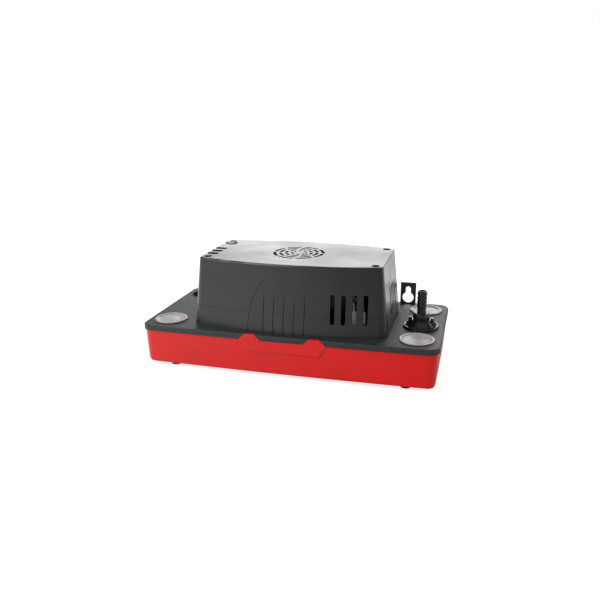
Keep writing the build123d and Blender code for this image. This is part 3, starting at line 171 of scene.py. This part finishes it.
# stacked sheet steel: thin dark joints between the sheets
def stackedSteel(name, colour, sheet=0.0006):
    material, tree, shader, place = startMaterial(name, 0.42)
    shader.inputs["Metallic"].default_value = 0.85
    wave = tree.nodes.new("ShaderNodeTexWave")
    wave.bands_direction = "Z"
    wave.inputs["Scale"].default_value = 0.314 / sheet
    wave.inputs["Distortion"].default_value = 0.4
    wave.inputs["Detail"].default_value = 1
    tree.links.new(place, wave.inputs["Vector"])
    joints = [(0.1, shade(colour, 0.45)), (0.5, colour), (1, shade(colour, 1.15))]
    colours = addRamp(tree, wave.outputs["Fac"], joints)
    tree.links.new(colours, shader.inputs["Base Color"])
    addBump(tree, shader, wave.outputs["Fac"], 0.00008)
    return material


# closed-cell foam: small round cells
def cellFoam(name, colour, cell=0.0012):
    material, tree, shader, place = startMaterial(name, 0.75, 0.3)
    cells = tree.nodes.new("ShaderNodeTexVoronoi")
    cells.inputs["Scale"].default_value = 1 / cell
    tree.links.new(place, cells.inputs["Vector"])
    colours = addRamp(tree, cells.outputs["Distance"], [(0.0, shade(colour, 0.8)), (0.6, colour)])
    tree.links.new(colours, shader.inputs["Base Color"])
    addBump(tree, shader, cells.outputs["Distance"], 0.00025)
    return material


# frosted clear plastic: milky, lit from inside, a fine etched grain
def frostedPlastic(name, colour, roughness):
    material, tree, shader, place = startMaterial(name, roughness)
    wide = addNoise(tree, place, scale=45, detail=3)
    etched = addNoise(tree, place, scale=2600, detail=2, roughness=0.6)
    colours = addRamp(tree, wide, [(0.3, shade(colour, 0.95)), (0.7, shade(colour, 1.03))])
    tree.links.new(colours, shader.inputs["Base Color"])
    shader.inputs["Subsurface Weight"].default_value = 0.25
    shader.inputs["Subsurface Radius"].default_value = (0.004, 0.003, 0.003)
    shader.inputs["Coat Weight"].default_value = 0.2
    tree.links.new(addRange(tree, etched, roughness - 0.06, roughness + 0.08), shader.inputs["Roughness"])
    addBump(tree, shader, etched, 0.00003)
    return material


# finishes by their slot names: grain counts are per metre, depths in metres
finishes = {
    "tank_red": glossPlastic("tankRed", (0.8, 0.006, 0.005), roughness=0.14, specular=0.36),
    "lid_black": mouldedPlastic(
        "lidCharcoal", (0.024, 0.0255, 0.027),
        roughness=0.5, grain=620, grainDepth=0.0005, drift=0.12, fleck=0.28, specular=0.42,
    ),
    "cover_black": mouldedPlastic(
        "coverCharcoal", (0.0175, 0.0175, 0.0185),
        roughness=0.32, grain=1300, grainDepth=0.00006, drift=0.1, fleck=0.12, ripple=0.0012,
    ),
    "valve_black": glossPlastic("valveBlack", (0.012, 0.012, 0.013), roughness=0.26),
    "foot_rubber": mouldedPlastic(
        "footRubber", (0.02, 0.02, 0.02),
        roughness=0.7, grain=1600, grainDepth=0.00005,
    ),
    "seal_rubber": mouldedPlastic(
        "sealRubber", (0.015, 0.015, 0.015),
        roughness=0.6, grain=1800, grainDepth=0.00003,
    ),
    "cap_frosted": frostedPlastic("capFrosted", (0.43, 0.4, 0.41), roughness=0.45),
    "bracket_steel": workedMetal(
        "bracketBlack", (0.075, 0.077, 0.08),
        roughness=0.5, stretch=(1, 1, 1), grain=1200, depth=0.00003, metallic=0.2,
    ),
    "zinc_steel": workedMetal("zincScrew", (0.5, 0.5, 0.49), roughness=0.34),
    "shaft_steel": workedMetal("shaftSteel", (0.6, 0.6, 0.61), roughness=0.24, stretch=(1, 1, 20)),
    "core_steel": stackedSteel("coreSteel", (0.3, 0.3, 0.31)),
    "coil_wire": workedMetal(
        "coilWire", (0.55, 0.2, 0.06),
        roughness=0.35, stretch=(1, 1, 8), grain=900, depth=0.0001, metallic=0.6,
    ),
    "bearing_bronze": workedMetal("bearingBronze", (0.45, 0.28, 0.1), roughness=0.4),
    "white_nylon": mouldedPlastic(
        "whiteNylon", (0.72, 0.7, 0.64),
        roughness=0.45, grain=700, grainDepth=0.00003, drift=0.04, fleck=0.03,
    ),
    "fan_plastic": mouldedPlastic(
        "fanPlastic", (0.06, 0.06, 0.062),
        roughness=0.45, grain=700, grainDepth=0.00003, drift=0.04, fleck=0.03,
    ),
    "pump_plastic": mouldedPlastic(
        "pumpPlastic", (0.05, 0.05, 0.054),
        roughness=0.42, grain=1200, grainDepth=0.00005,
    ),
    "float_foam": cellFoam("floatFoam", (0.62, 0.58, 0.48)),
    "ball_rubber": mouldedPlastic(
        "ballRubber", (0.07, 0.07, 0.07),
        roughness=0.5, grain=1600, grainDepth=0.00002,
    ),
    "switch_plastic": mouldedPlastic(
        "switchPlastic", (0.03, 0.03, 0.03),
        roughness=0.4, grain=1200, grainDepth=0.00004,
    ),
    "plunger_red": glossPlastic("plungerRed", (0.5, 0.03, 0.02), roughness=0.3),
    "grip_grey": mouldedPlastic(
        "gripGrey", (0.27, 0.27, 0.26),
        roughness=0.5, grain=1100, grainDepth=0.00004, drift=0.05, fleck=0.05,
    ),
    "lead_sleeve": mouldedPlastic(
        "leadSleeve", (0.48, 0.45, 0.38),
        roughness=0.4, grain=900, grainDepth=0.00002, drift=0.05, fleck=0.03,
    ),
}
print("materials made:", len(finishes))


# making steps that several pieces share: distances in metres, angles in degrees
making = {
    "weldWithin": 0.000004,
    "spinWeldWithin": 0.000002,
    "flatWithin": 0.8,
    "sharpAngle": 32,
    "roundAngle": 60,
    "latheAngle": 40,
    "bevelAngle": 40,
    "edgeSteps": 2,
    "normalWeight": 50,
    "latheSteps": 96,
}


def mergeFlats(shape):
    flat = math.radians(making["flatWithin"])
    bmesh.ops.dissolve_limit(shape, angle_limit=flat, verts=shape.verts, edges=shape.edges)


def weldedCopy(nodeName):
    # the node's own shape, welded into one clean mesh
    shape = bmesh.new()
    shape.from_mesh(cadNodes[nodeName].data)
    bmesh.ops.remove_doubles(shape, verts=shape.verts, dist=making["weldWithin"])
    bmesh.ops.dissolve_degenerate(shape, edges=shape.edges, dist=making["weldWithin"])
    mergeFlats(shape)
    return shape


def putPiece(name, shape, slotName, body, smoothAngle, bevel, nodeNames):
    mesh = bpy.data.meshes.new(name)
    shape.to_mesh(mesh)
    shape.free()
    for face in mesh.polygons:
        face.use_smooth = True
    mesh.set_sharp_from_angle(angle=math.radians(smoothAngle))
    piece = bpy.data.objects.new(name, mesh)
    bpy.context.scene.collection.objects.link(piece)
    mesh.materials.append(finishes[slotName])
    if bevel:
        rounding = piece.modifiers.new("rounding", "BEVEL")
        rounding.width, rounding.segments = bevel
        rounding.limit_method = "ANGLE"
        rounding.angle_limit = math.radians(making["bevelAngle"])
        rounding.use_clamp_overlap = True
        levelled = piece.modifiers.new("levelledNormals", "WEIGHTED_NORMAL")
        levelled.keep_sharp = True
        levelled.weight = making["normalWeight"]
    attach(piece, body)
    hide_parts(*nodeNames)


def finishNode(nodeName, pieceName, slotName, smoothAngle, bevel):
    body = bodyOfNode[nodeName]
    putPiece(pieceName, weldedCopy(nodeName), slotName, body, smoothAngle, bevel, (nodeName,))


def lathe(profile, centre):
    # spins an (r, z) outline, in millimetres, into a closed solid about a vertical axis
    shape = bmesh.new()
    corners = [shape.verts.new((radius / 1000, 0, height / 1000)) for radius, height in profile]
    for first, second in zip(corners, corners[1:]):
        shape.edges.new((first, second))
    if profile[0][0] > 0:
        shape.edges.new((corners[-1], corners[0]))
    bmesh.ops.spin(
        shape,
        geom=shape.verts[:] + shape.edges[:],
        cent=(0, 0, 0),
        axis=(0, 0, 1),
        dvec=(0, 0, 0),
        angle=math.radians(360),
        steps=making["latheSteps"],
        use_merge=True,
        use_duplicate=False,
    )
    bmesh.ops.remove_doubles(shape, verts=shape.verts, dist=making["spinWeldWithin"])
    bmesh.ops.dissolve_degenerate(shape, edges=shape.edges, dist=making["spinWeldWithin"])
    bmesh.ops.recalc_face_normals(shape, faces=shape.faces)
    bmesh.ops.translate(shape, verts=shape.verts, vec=centre)
    return shape


def joinShapes(first, second):
    # second goes into first as a separate shell
    holder = bpy.data.meshes.new("holder")
    second.to_mesh(holder)
    second.free()
    first.from_mesh(holder)
    bpy.data.meshes.remove(holder)
    return first


# pieces that keep their own shape: piece name, finish and rounded edge in metres
nodeFinish = {
    "tank": ("tankShell", "tank_red", 0.0004),
    "rim_gasket": ("rimSeal", "seal_rubber", None),
    "lid": ("lidShell", "lid_black", 0.00035),
    "bracket_left": ("bracketLeft", "bracket_steel", 0.00025),
    "bracket_right": ("bracketRight", "bracket_steel", 0.00025),
    "bracket_screws": ("bracketScrews", "zinc_steel", 0.0002),
    "cover_screws": ("coverScrews", "zinc_steel", 0.0002),
    "cord_gland": ("cordGland", "lid_black", 0.0004),
    "stator_core": ("statorCore", "core_steel", 0.0002),
    # the coil bobbin is given the black switch plastic to darken the inside of the cover: painted shade
    "coil_bobbin": ("coilBobbin", "switch_plastic", 0.0003),
    "lower_bridge": ("lowerBridge", "zinc_steel", 0.0002),
    "upper_bridge": ("upperBridge", "zinc_steel", 0.0002),
    "lower_bearing": ("lowerBearing", "bearing_bronze", 0.0002),
    "upper_bearing": ("upperBearing", "bearing_bronze", 0.0002),
    "motor_sleeves": ("motorSleeves", "zinc_steel", 0.0002),
    "motor_bolts": ("motorBolts", "zinc_steel", 0.0002),
    "motor_shaft": ("motorShaft", "shaft_steel", 0.0002),
    "rotor_core": ("rotorCore", "core_steel", 0.0002),
    "fan": ("coolingFan", "fan_plastic", 0.0002),
    "volute_housing": ("voluteHousing", "pump_plastic", 0.0003),
    "volute_plate": ("volutePlate", "pump_plastic", 0.0003),
    "volute_screws": ("voluteScrews", "zinc_steel", 0.0002),
    "impeller": ("pumpImpeller", "white_nylon", 0.0002),
    "outlet_elbow": ("outletElbow", "pump_plastic", 0.0003),
    "discharge_pipe": ("dischargePipe", "pump_plastic", 0.0002),
    "valve_body": ("valveBody", "valve_black", 0.0003),
    "valve_oring": ("valveRing", "seal_rubber", None),
    "valve_ball": ("valveBall", "ball_rubber", None),
    "float_hinge": ("floatHinge", "white_nylon", 0.0003),
    "hinge_pin": ("hingePin", "shaft_steel", 0.0002),
    "float_arm": ("floatArm", "white_nylon", 0.0002),
    "float_block": ("floatBlock", "float_foam", 0.0006),
    "test_rod": ("testRod", "shaft_steel", 0.0001),
    "link_pin": ("linkPin", "shaft_steel", 0.0002),
    "test_grip": ("testGrip", "grip_grey", 0.0003),
    "run_switch": ("runSwitch", "switch_plastic", 0.0003),
    "run_plunger": ("runPlunger", "plunger_red", 0.0002),
    "safety_switch": ("safetySwitch", "switch_plastic", 0.0003),
    "safety_plunger": ("safetyPlunger", "plunger_red", 0.0002),
    "switch_spacers": ("switchSpacers", "white_nylon", 0.0002),
    "switch_screws": ("switchScrews", "zinc_steel", 0.0002),
    "lead_clip": ("leadClip", "white_nylon", 0.0002),
    "splice_caps": ("spliceCaps", "white_nylon", 0.0002),
    "coil_leads": ("coilLeads", "lead_sleeve", None),
}
roundNodes = ("valve_oring", "valve_ball", "coil_leads")
for nodeName, (pieceName, slotName, edge) in nodeFinish.items():
    smoothAngle = making["roundAngle" if nodeName in roundNodes else "sharpAngle"]
    bevel = (edge, making["edgeSteps"]) if edge else None
    finishNode(nodeName, pieceName, slotName, smoothAngle, bevel)
print("pieces finished:", len(nodeFinish))

# motor cover, in millimetres and degrees: tapered flutes and the seam are cut into its arched panel
cover = {
    "middleY": -4.5,
    "halfX": 106.2,
    "halfY": 51.0,
    "bow": 13.0,
    "draft": 5.7,
    "deck": 47.8,
    "archDepth": 0.5,
    "archHalfWidth": 40.0,
    "fluteCount": 5,
    "flutePitch": 11.05,
    "fluteWidth": 3.4,
    "fluteTop": 41.5,
    "fluteDepth": 0.65,
    "fluteKeel": 0.2,
    "fluteSplay": 0.5,
    "cutterReach": 12.0,
    "seamHeight": 20.7,
    "seamWidth": 0.6,
    "seamDepth": 0.35,
    "seamEnd": 2.0,
    "seamReach": 8.0,
    "seamSteps": 24,
    "edge": 0.3,
}


def coverFrontY(x, height):
    # where the arched panel stands, in millimetres, at x and at a height above the deck
    lean = height * math.tan(math.radians(cover["draft"]))
    halfX = cover["halfX"] - lean
    radius = (halfX**2 + cover["bow"] ** 2) / (2 * cover["bow"])
    reach = cover["halfY"] - lean + cover["bow"] - radius + math.sqrt(radius**2 - x**2)
    return cover["middleY"] - reach + cover["archDepth"]


def fluteCutters():
    shape = bmesh.new()
    for number in range(cover["fluteCount"]):
        middle = (number - (cover["fluteCount"] - 1) / 2) * cover["flutePitch"]
        corners = []
        for side, height in ((-0.5, -1), (0.5, -1), (0, cover["fluteTop"])):
            x = middle + side * cover["fluteWidth"]
            y = coverFrontY(middle, height) + cover["fluteDepth"]
            corners.append(shape.verts.new((x / 1000, y / 1000, (cover["deck"] + height) / 1000)))
        # the flute's two flanks meet in a line that runs a little deeper than its edges
        left, right, tip = corners
        keel = shape.verts.new((middle / 1000, left.co.y + cover["fluteKeel"] / 1000, left.co.z))
        for corner in (left, right):
            corner.co.y -= cover["fluteSplay"] / 1000
        reach = Vector((0, cover["cutterReach"] / 1000, 0))
        frontLeft, frontRight, frontTip = [shape.verts.new(corner.co - reach) for corner in corners]
        for loop in (
            (left, keel, tip),
            (keel, right, tip),
            (frontLeft, frontTip, frontRight),
            (left, frontLeft, frontRight, right, keel),
            (left, tip, frontTip, frontLeft),
            (right, frontRight, frontTip, tip),
        ):
            shape.faces.new(loop)
    bmesh.ops.recalc_face_normals(shape, faces=shape.faces)
    return shape


def seamCutter():
    shape = bmesh.new()
    bmesh.ops.create_grid(shape, x_segments=cover["seamSteps"], y_segments=1, size=0.5)
    bottom = (cover["deck"] + cover["seamHeight"]) / 1000
    for vert in shape.verts:
        x = vert.co.x * 2 * (cover["archHalfWidth"] - cover["seamEnd"])
        back = coverFrontY(x, cover["seamHeight"]) + cover["seamDepth"]
        y = back if vert.co.y > 0 else back - cover["seamReach"]
        vert.co = (x / 1000, y / 1000, bottom)
    raised = bmesh.ops.extrude_face_region(shape, geom=shape.faces[:])
    lift = [part for part in raised["geom"] if isinstance(part, bmesh.types.BMVert)]
    bmesh.ops.translate(shape, verts=lift, vec=(0, 0, cover["seamWidth"] / 1000))
    bmesh.ops.recalc_face_normals(shape, faces=shape.faces)
    return shape


def cutAway(shape, *cutters):
    # one boolean for each cutter, then the working objects are removed
    mesh = bpy.data.meshes.new("cutWork")
    shape.to_mesh(mesh)
    shape.free()
    work = bpy.data.objects.new("cutWork", mesh)
    bpy.context.scene.collection.objects.link(work)
    tools = []
    for cutter in cutters:
        toolMesh = bpy.data.meshes.new("cutTool")
        cutter.to_mesh(toolMesh)
        cutter.free()
        tool = bpy.data.objects.new("cutTool", toolMesh)
        bpy.context.scene.collection.objects.link(tool)
        tools.append(tool)
        cut = work.modifiers.new("cut", "BOOLEAN")
        cut.operation = "DIFFERENCE"
        cut.solver = "EXACT"
        cut.object = tool
    ready = work.evaluated_get(bpy.context.evaluated_depsgraph_get())
    result = bmesh.new()
    result.from_mesh(ready.to_mesh())
    for item in tools + [work]:
        spare = item.data
        bpy.data.objects.remove(item)
        bpy.data.meshes.remove(spare)
    return result


def makeCover():
    plain = bmesh.new()
    plain.from_mesh(cadNodes["motor_cover"].data)
    bmesh.ops.remove_doubles(plain, verts=plain.verts, dist=making["weldWithin"])
    shape = cutAway(plain, fluteCutters(), seamCutter())
    bmesh.ops.remove_doubles(shape, verts=shape.verts, dist=making["spinWeldWithin"])
    mergeFlats(shape)
    print("cover faces:", len(shape.faces))
    body = bodyOfNode["motor_cover"]
    bevel = (cover["edge"] / 1000, making["edgeSteps"])
    putPiece("coverShell", shape, "cover_black", body, making["sharpAngle"], bevel, ("motor_cover",))


makeCover()

# caps that close three of the inlets, in millimetres: a shallow dish inside a raised, rounded bead
cap = {
    "plugRadius": 16.4,
    "beadRadius": 17.9,
    "beadHeight": 1.0,
    "beadWidth": 2.6,
    "dishDrop": 1.25,
    "wall": 1.2,
    "skirt": 7.0,
    "base": 48.2,
}


def makeCap(nodeName, pieceName):
    low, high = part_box(nodeName)
    inner = cap["beadRadius"] - cap["beadWidth"]
    top = cap["beadHeight"]
    floor = top - cap["dishDrop"]
    under = floor - cap["wall"]
    # from the middle of the dish, over the bead and down the plug, then back under the dish
    profile = [
        (0, floor + 0.12),
        (inner * 0.42, floor + 0.1),
        (inner * 0.45, floor),
        (inner * 0.84, floor),
        (inner * 0.9, floor + 0.1),
        (inner * 0.96, floor + 0.45),
        (inner, top - 0.22),
        (inner + 0.35, top - 0.06),
        (inner + 0.8, top),
        (cap["beadRadius"] - 0.8, top),
        (cap["beadRadius"] - 0.3, top - 0.1),
        (cap["beadRadius"] - 0.06, top - 0.35),
        (cap["beadRadius"], top - 0.6),
        (cap["beadRadius"], 0.1),
        (cap["beadRadius"] - 0.1, 0),
        (cap["plugRadius"], 0),
        (cap["plugRadius"], -cap["skirt"] + 0.4),
        (cap["plugRadius"] - 0.4, -cap["skirt"]),
        (cap["plugRadius"] - cap["wall"], -cap["skirt"]),
        (cap["plugRadius"] - cap["wall"], under),
        (0, under),
    ]
    centre = ((low.x + high.x) / 2, (low.y + high.y) / 2, cap["base"] / 1000)
    body = bodyOfNode[nodeName]
    putPiece(pieceName, lathe(profile, centre), "cap_frosted", body, making["latheAngle"], None, (nodeName,))


makeCap("inlet_cap_front_left", "capFrontLeft")
makeCap("inlet_cap_front_right", "capFrontRight")
makeCap("inlet_cap_rear_right", "capRearRight")
print("inlet caps turned")

# hose tail, in millimetres: a hexagon below, a bored stem with barbs above
tail = {
    "centre": (135.4, -7.7),
    "hexFlats": 15.4,
    "hexBase": 56.5,
    "hexTop": 63.6,
    "foot": 50.4,
    "footRadius": 7.4,
    "stem": 4.75,
    "crest": 5.4,
    "bore": 3.2,
    "end": 87.6,
    "pitch": 4.4,
    "barbs": 4,
    "hexEdge": 0.5,
}


def makeHoseTail():
    end, stem, crest, pitch, bore = (tail[part] for part in ("end", "stem", "crest", "pitch", "bore"))
    middleX, middleY = (value / 1000 for value in tail["centre"])
    profile = [(bore, end - 0.3), (bore + 0.3, end), (stem - 0.7, end), (stem - 0.35, end - 0.12)]
    for number in range(tail["barbs"]):
        crestZ = end - 0.8 - number * pitch
        profile += [
            (crest - 0.12, crestZ - 0.48 * pitch),
            (crest, crestZ - 0.56 * pitch),
            (crest, crestZ - 0.68 * pitch),
            (crest - 0.12, crestZ - 0.74 * pitch),
            (stem + 0.1, crestZ - 0.76 * pitch),
            (stem, crestZ - 0.8 * pitch),
            (stem, crestZ - pitch),
        ]
    profile += [
        (stem, tail["hexTop"] + 0.5),
        (stem + 0.4, tail["hexTop"] + 0.05),
        (tail["footRadius"] - 0.2, tail["hexTop"] + 0.03),
        (tail["footRadius"], tail["hexTop"] - 0.3),
        (tail["footRadius"], tail["foot"] + 0.4),
        (tail["footRadius"] - 0.4, tail["foot"]),
        (bore, tail["foot"]),
    ]
    shape = lathe(profile, (middleX, middleY, 0))
    nut = bmesh.new()
    hexRadius = tail["hexFlats"] / 2000 / math.cos(math.radians(30))
    bmesh.ops.create_circle(nut, cap_ends=True, segments=6, radius=hexRadius)
    bmesh.ops.rotate(nut, verts=nut.verts, cent=(0, 0, 0), matrix=Matrix.Rotation(math.radians(30), 3, "Z"))
    raised = bmesh.ops.extrude_face_region(nut, geom=nut.faces[:])
    lift = [part for part in raised["geom"] if isinstance(part, bmesh.types.BMVert)]
    bmesh.ops.translate(nut, verts=lift, vec=(0, 0, (tail["hexTop"] - tail["hexBase"]) / 1000))
    bmesh.ops.recalc_face_normals(nut, faces=nut.faces)
    edge = tail["hexEdge"] / 1000
    bmesh.ops.bevel(nut, geom=nut.edges[:], offset=edge, segments=2, profile=0.5, affect="EDGES", material=-1)
    bmesh.ops.translate(nut, verts=nut.verts, vec=(middleX, middleY, tail["hexBase"] / 1000))
    whole = joinShapes(shape, nut)
    body = bodyOfNode["hose_barb"]
    putPiece("hoseBarb", whole, "valve_black", body, making["latheAngle"], None, ("hose_barb",))


makeHoseTail()
print("hose tail turned")

# rubber feet and winding: their edges are rounder than the rest, in metres
foot = {"edge": 0.0009, "steps": 3}
winding = {"edge": 0.0012, "steps": 3}
sharpAngle = making["sharpAngle"]
finishNode("tank_feet", "tankFeet", "foot_rubber", sharpAngle, (foot["edge"], foot["steps"]))
finishNode("coil_winding", "coilWinding", "coil_wire", sharpAngle, (winding["edge"], winding["steps"]))
print("feet and winding finished")

# floor and world: the floor's painted sheen, seen only in reflections, fades between two places across the
# floor and grows towards the back of the pump
studio = {
    "floorSize": 6,
    "floorDrop": 0.0001,
    "floorColour": 0.62,
    "floorGlow": 0.74,
    # painted sheen on the floor for glossy rays: its levels at left, right and back, and the places in metres
    # where it changes
    "paintedSheenLeft": 1.0,
    "paintedSheenRight": 0.0,
    "fadeFrom": -0.22,
    "fadeTo": 0.16,
    "paintedSheenBehind": 1.1,
    "behindFrom": 0.06,
    "behindTo": 0.2,
    "worldLevel": 0.45,
}


def makeFloor():
    shape = bmesh.new()
    bmesh.ops.create_grid(shape, x_segments=1, y_segments=1, size=studio["floorSize"])
    bmesh.ops.translate(shape, verts=shape.verts, vec=(0, 0, -studio["floorDrop"]))
    mesh = bpy.data.meshes.new("studioFloor")
    shape.to_mesh(mesh)
    shape.free()
    floor = bpy.data.objects.new("studioFloor", mesh)
    bpy.context.scene.collection.objects.link(floor)
    material, tree, shader, place = startMaterial("floorWhitePaintedSheen", roughness=0.9, specular=0.1)
    shader.inputs["Base Color"].default_value = (studio["floorColour"],) * 3 + (1,)
    # the camera sees a white floor; glossy rays see a painted sheen on it, strong at the left and at the back
    # and none at the right, a painted reflection on the pump
    rays = tree.nodes.new("ShaderNodeLightPath")
    across = tree.nodes.new("ShaderNodeSeparateXYZ")
    tree.links.new(place, across.inputs["Vector"])
    sideX, rearY = across.outputs["X"], across.outputs["Y"]
    paintedFadeAcross = addRange(
        tree, sideX, studio["paintedSheenLeft"], studio["paintedSheenRight"], studio["fadeFrom"], studio["fadeTo"]
    )
    paintedRiseBehind = addRange(tree, rearY, 0, studio["paintedSheenBehind"], studio["behindFrom"], studio["behindTo"])
    paintedSheenLevel = tree.nodes.new("ShaderNodeMath")
    paintedSheenLevel.operation = "MAXIMUM"
    tree.links.new(paintedFadeAcross, paintedSheenLevel.inputs[0])
    tree.links.new(paintedRiseBehind, paintedSheenLevel.inputs[1])
    # painted reflection: the floor glows for glossy rays by this amount
    sheen = tree.nodes.new("ShaderNodeMath")
    sheen.operation = "MULTIPLY"
    tree.links.new(paintedSheenLevel.outputs[0], sheen.inputs[0])
    tree.links.new(rays.outputs["Is Glossy Ray"], sheen.inputs[1])
    plain = tree.nodes.new("ShaderNodeMath")
    plain.operation = "MAXIMUM"
    tree.links.new(rays.outputs["Is Camera Ray"], plain.inputs[0])
    tree.links.new(rays.outputs["Is Transmission Ray"], plain.inputs[1])
    glow = tree.nodes.new("ShaderNodeMath")
    glow.operation = "MULTIPLY_ADD"
    glow.inputs[1].default_value = studio["floorGlow"]
    tree.links.new(plain.outputs[0], glow.inputs[0])
    tree.links.new(sheen.outputs[0], glow.inputs[2])
    shader.inputs["Emission Color"].default_value = (1, 1, 1, 1)
    tree.links.new(glow.outputs[0], shader.inputs["Emission Strength"])
    mesh.materials.append(material)


def makeWorld():
    world = bpy.data.worlds.new("studioWorld")
    bpy.context.scene.world = world
    world.use_nodes = True
    tree = world.node_tree
    sky = tree.nodes["Background"]
    sky.inputs["Color"].default_value = (1, 1, 1, 1)
    rays = tree.nodes.new("ShaderNodeLightPath")
    level = tree.nodes.new("ShaderNodeMapRange")
    level.inputs["To Min"].default_value = studio["worldLevel"]
    level.inputs["To Max"].default_value = 1.0
    tree.links.new(rays.outputs["Is Camera Ray"], level.inputs["Value"])
    tree.links.new(level.outputs["Result"], sky.inputs["Strength"])


# area lamps: places and sizes in metres, power in watts
lamps = {
    "keyLamp": {
        "position": (-0.75, -0.8, 0.85),
        "target": (-0.05, 0, 0.05),
        "size": (0.7, 0.7),
        "power": 10.0,
    },
    "rearLamp": {
        "position": (-0.15, 2.0, 0.7),
        "target": (0, 0, 0.1),
        "size": (1.8, 0.9),
        "power": 15.5,
    },
    "rightLamp": {
        "position": (1.9, 0.7, 0.7),
        "target": (0, 0, 0.08),
        "size": (1.2, 1.0),
        "power": 8.0,
    },
}


def addLamp(name, position, target, size, power):
    lamp = bpy.data.lights.new(name, "AREA")
    lamp.shape = "RECTANGLE"
    lamp.size, lamp.size_y = size
    lamp.energy = power
    holder = bpy.data.objects.new(name, lamp)
    bpy.context.scene.collection.objects.link(holder)
    holder.location = position
    holder.rotation_euler = (Vector(target) - Vector(position)).to_track_quat("-Z", "Y").to_euler()


makeFloor()
makeWorld()
for lampName, lampSettings in lamps.items():
    addLamp(lampName, **lampSettings)

# lens and sensor in millimetres, angles in degrees, place in metres
cameraSettings = {
    "sensor": 36,
    "lens": 40.17,
    "azimuth": 15.45,
    "elevation": 17.36,
    "roll": -0.433,
    "position": (0.19063, -0.69158, 0.28907),
}


def makeCamera():
    turn = math.radians(cameraSettings["azimuth"])
    tilt = math.radians(cameraSettings["elevation"])
    roll = math.radians(cameraSettings["roll"])
    back = Vector((math.sin(turn) * math.cos(tilt), -math.cos(turn) * math.cos(tilt), math.sin(tilt)))
    right = Vector((math.cos(turn), math.sin(turn), 0))
    up = back.cross(right)
    rolledRight = math.cos(roll) * right + math.sin(roll) * up
    rolledUp = math.cos(roll) * up - math.sin(roll) * right
    facing = Matrix((rolledRight, rolledUp, back)).transposed().to_4x4()
    lensData = bpy.data.cameras.new("studioCamera")
    lensData.lens = cameraSettings["lens"]
    lensData.sensor_width = cameraSettings["sensor"]
    camera = bpy.data.objects.new("studioCamera", lensData)
    bpy.context.scene.collection.objects.link(camera)
    camera.matrix_world = Matrix.Translation(cameraSettings["position"]) @ facing
    bpy.context.scene.camera = camera


makeCamera()
bpy.context.scene.view_settings.view_transform = "Standard"
print("floor, lamps and camera placed")
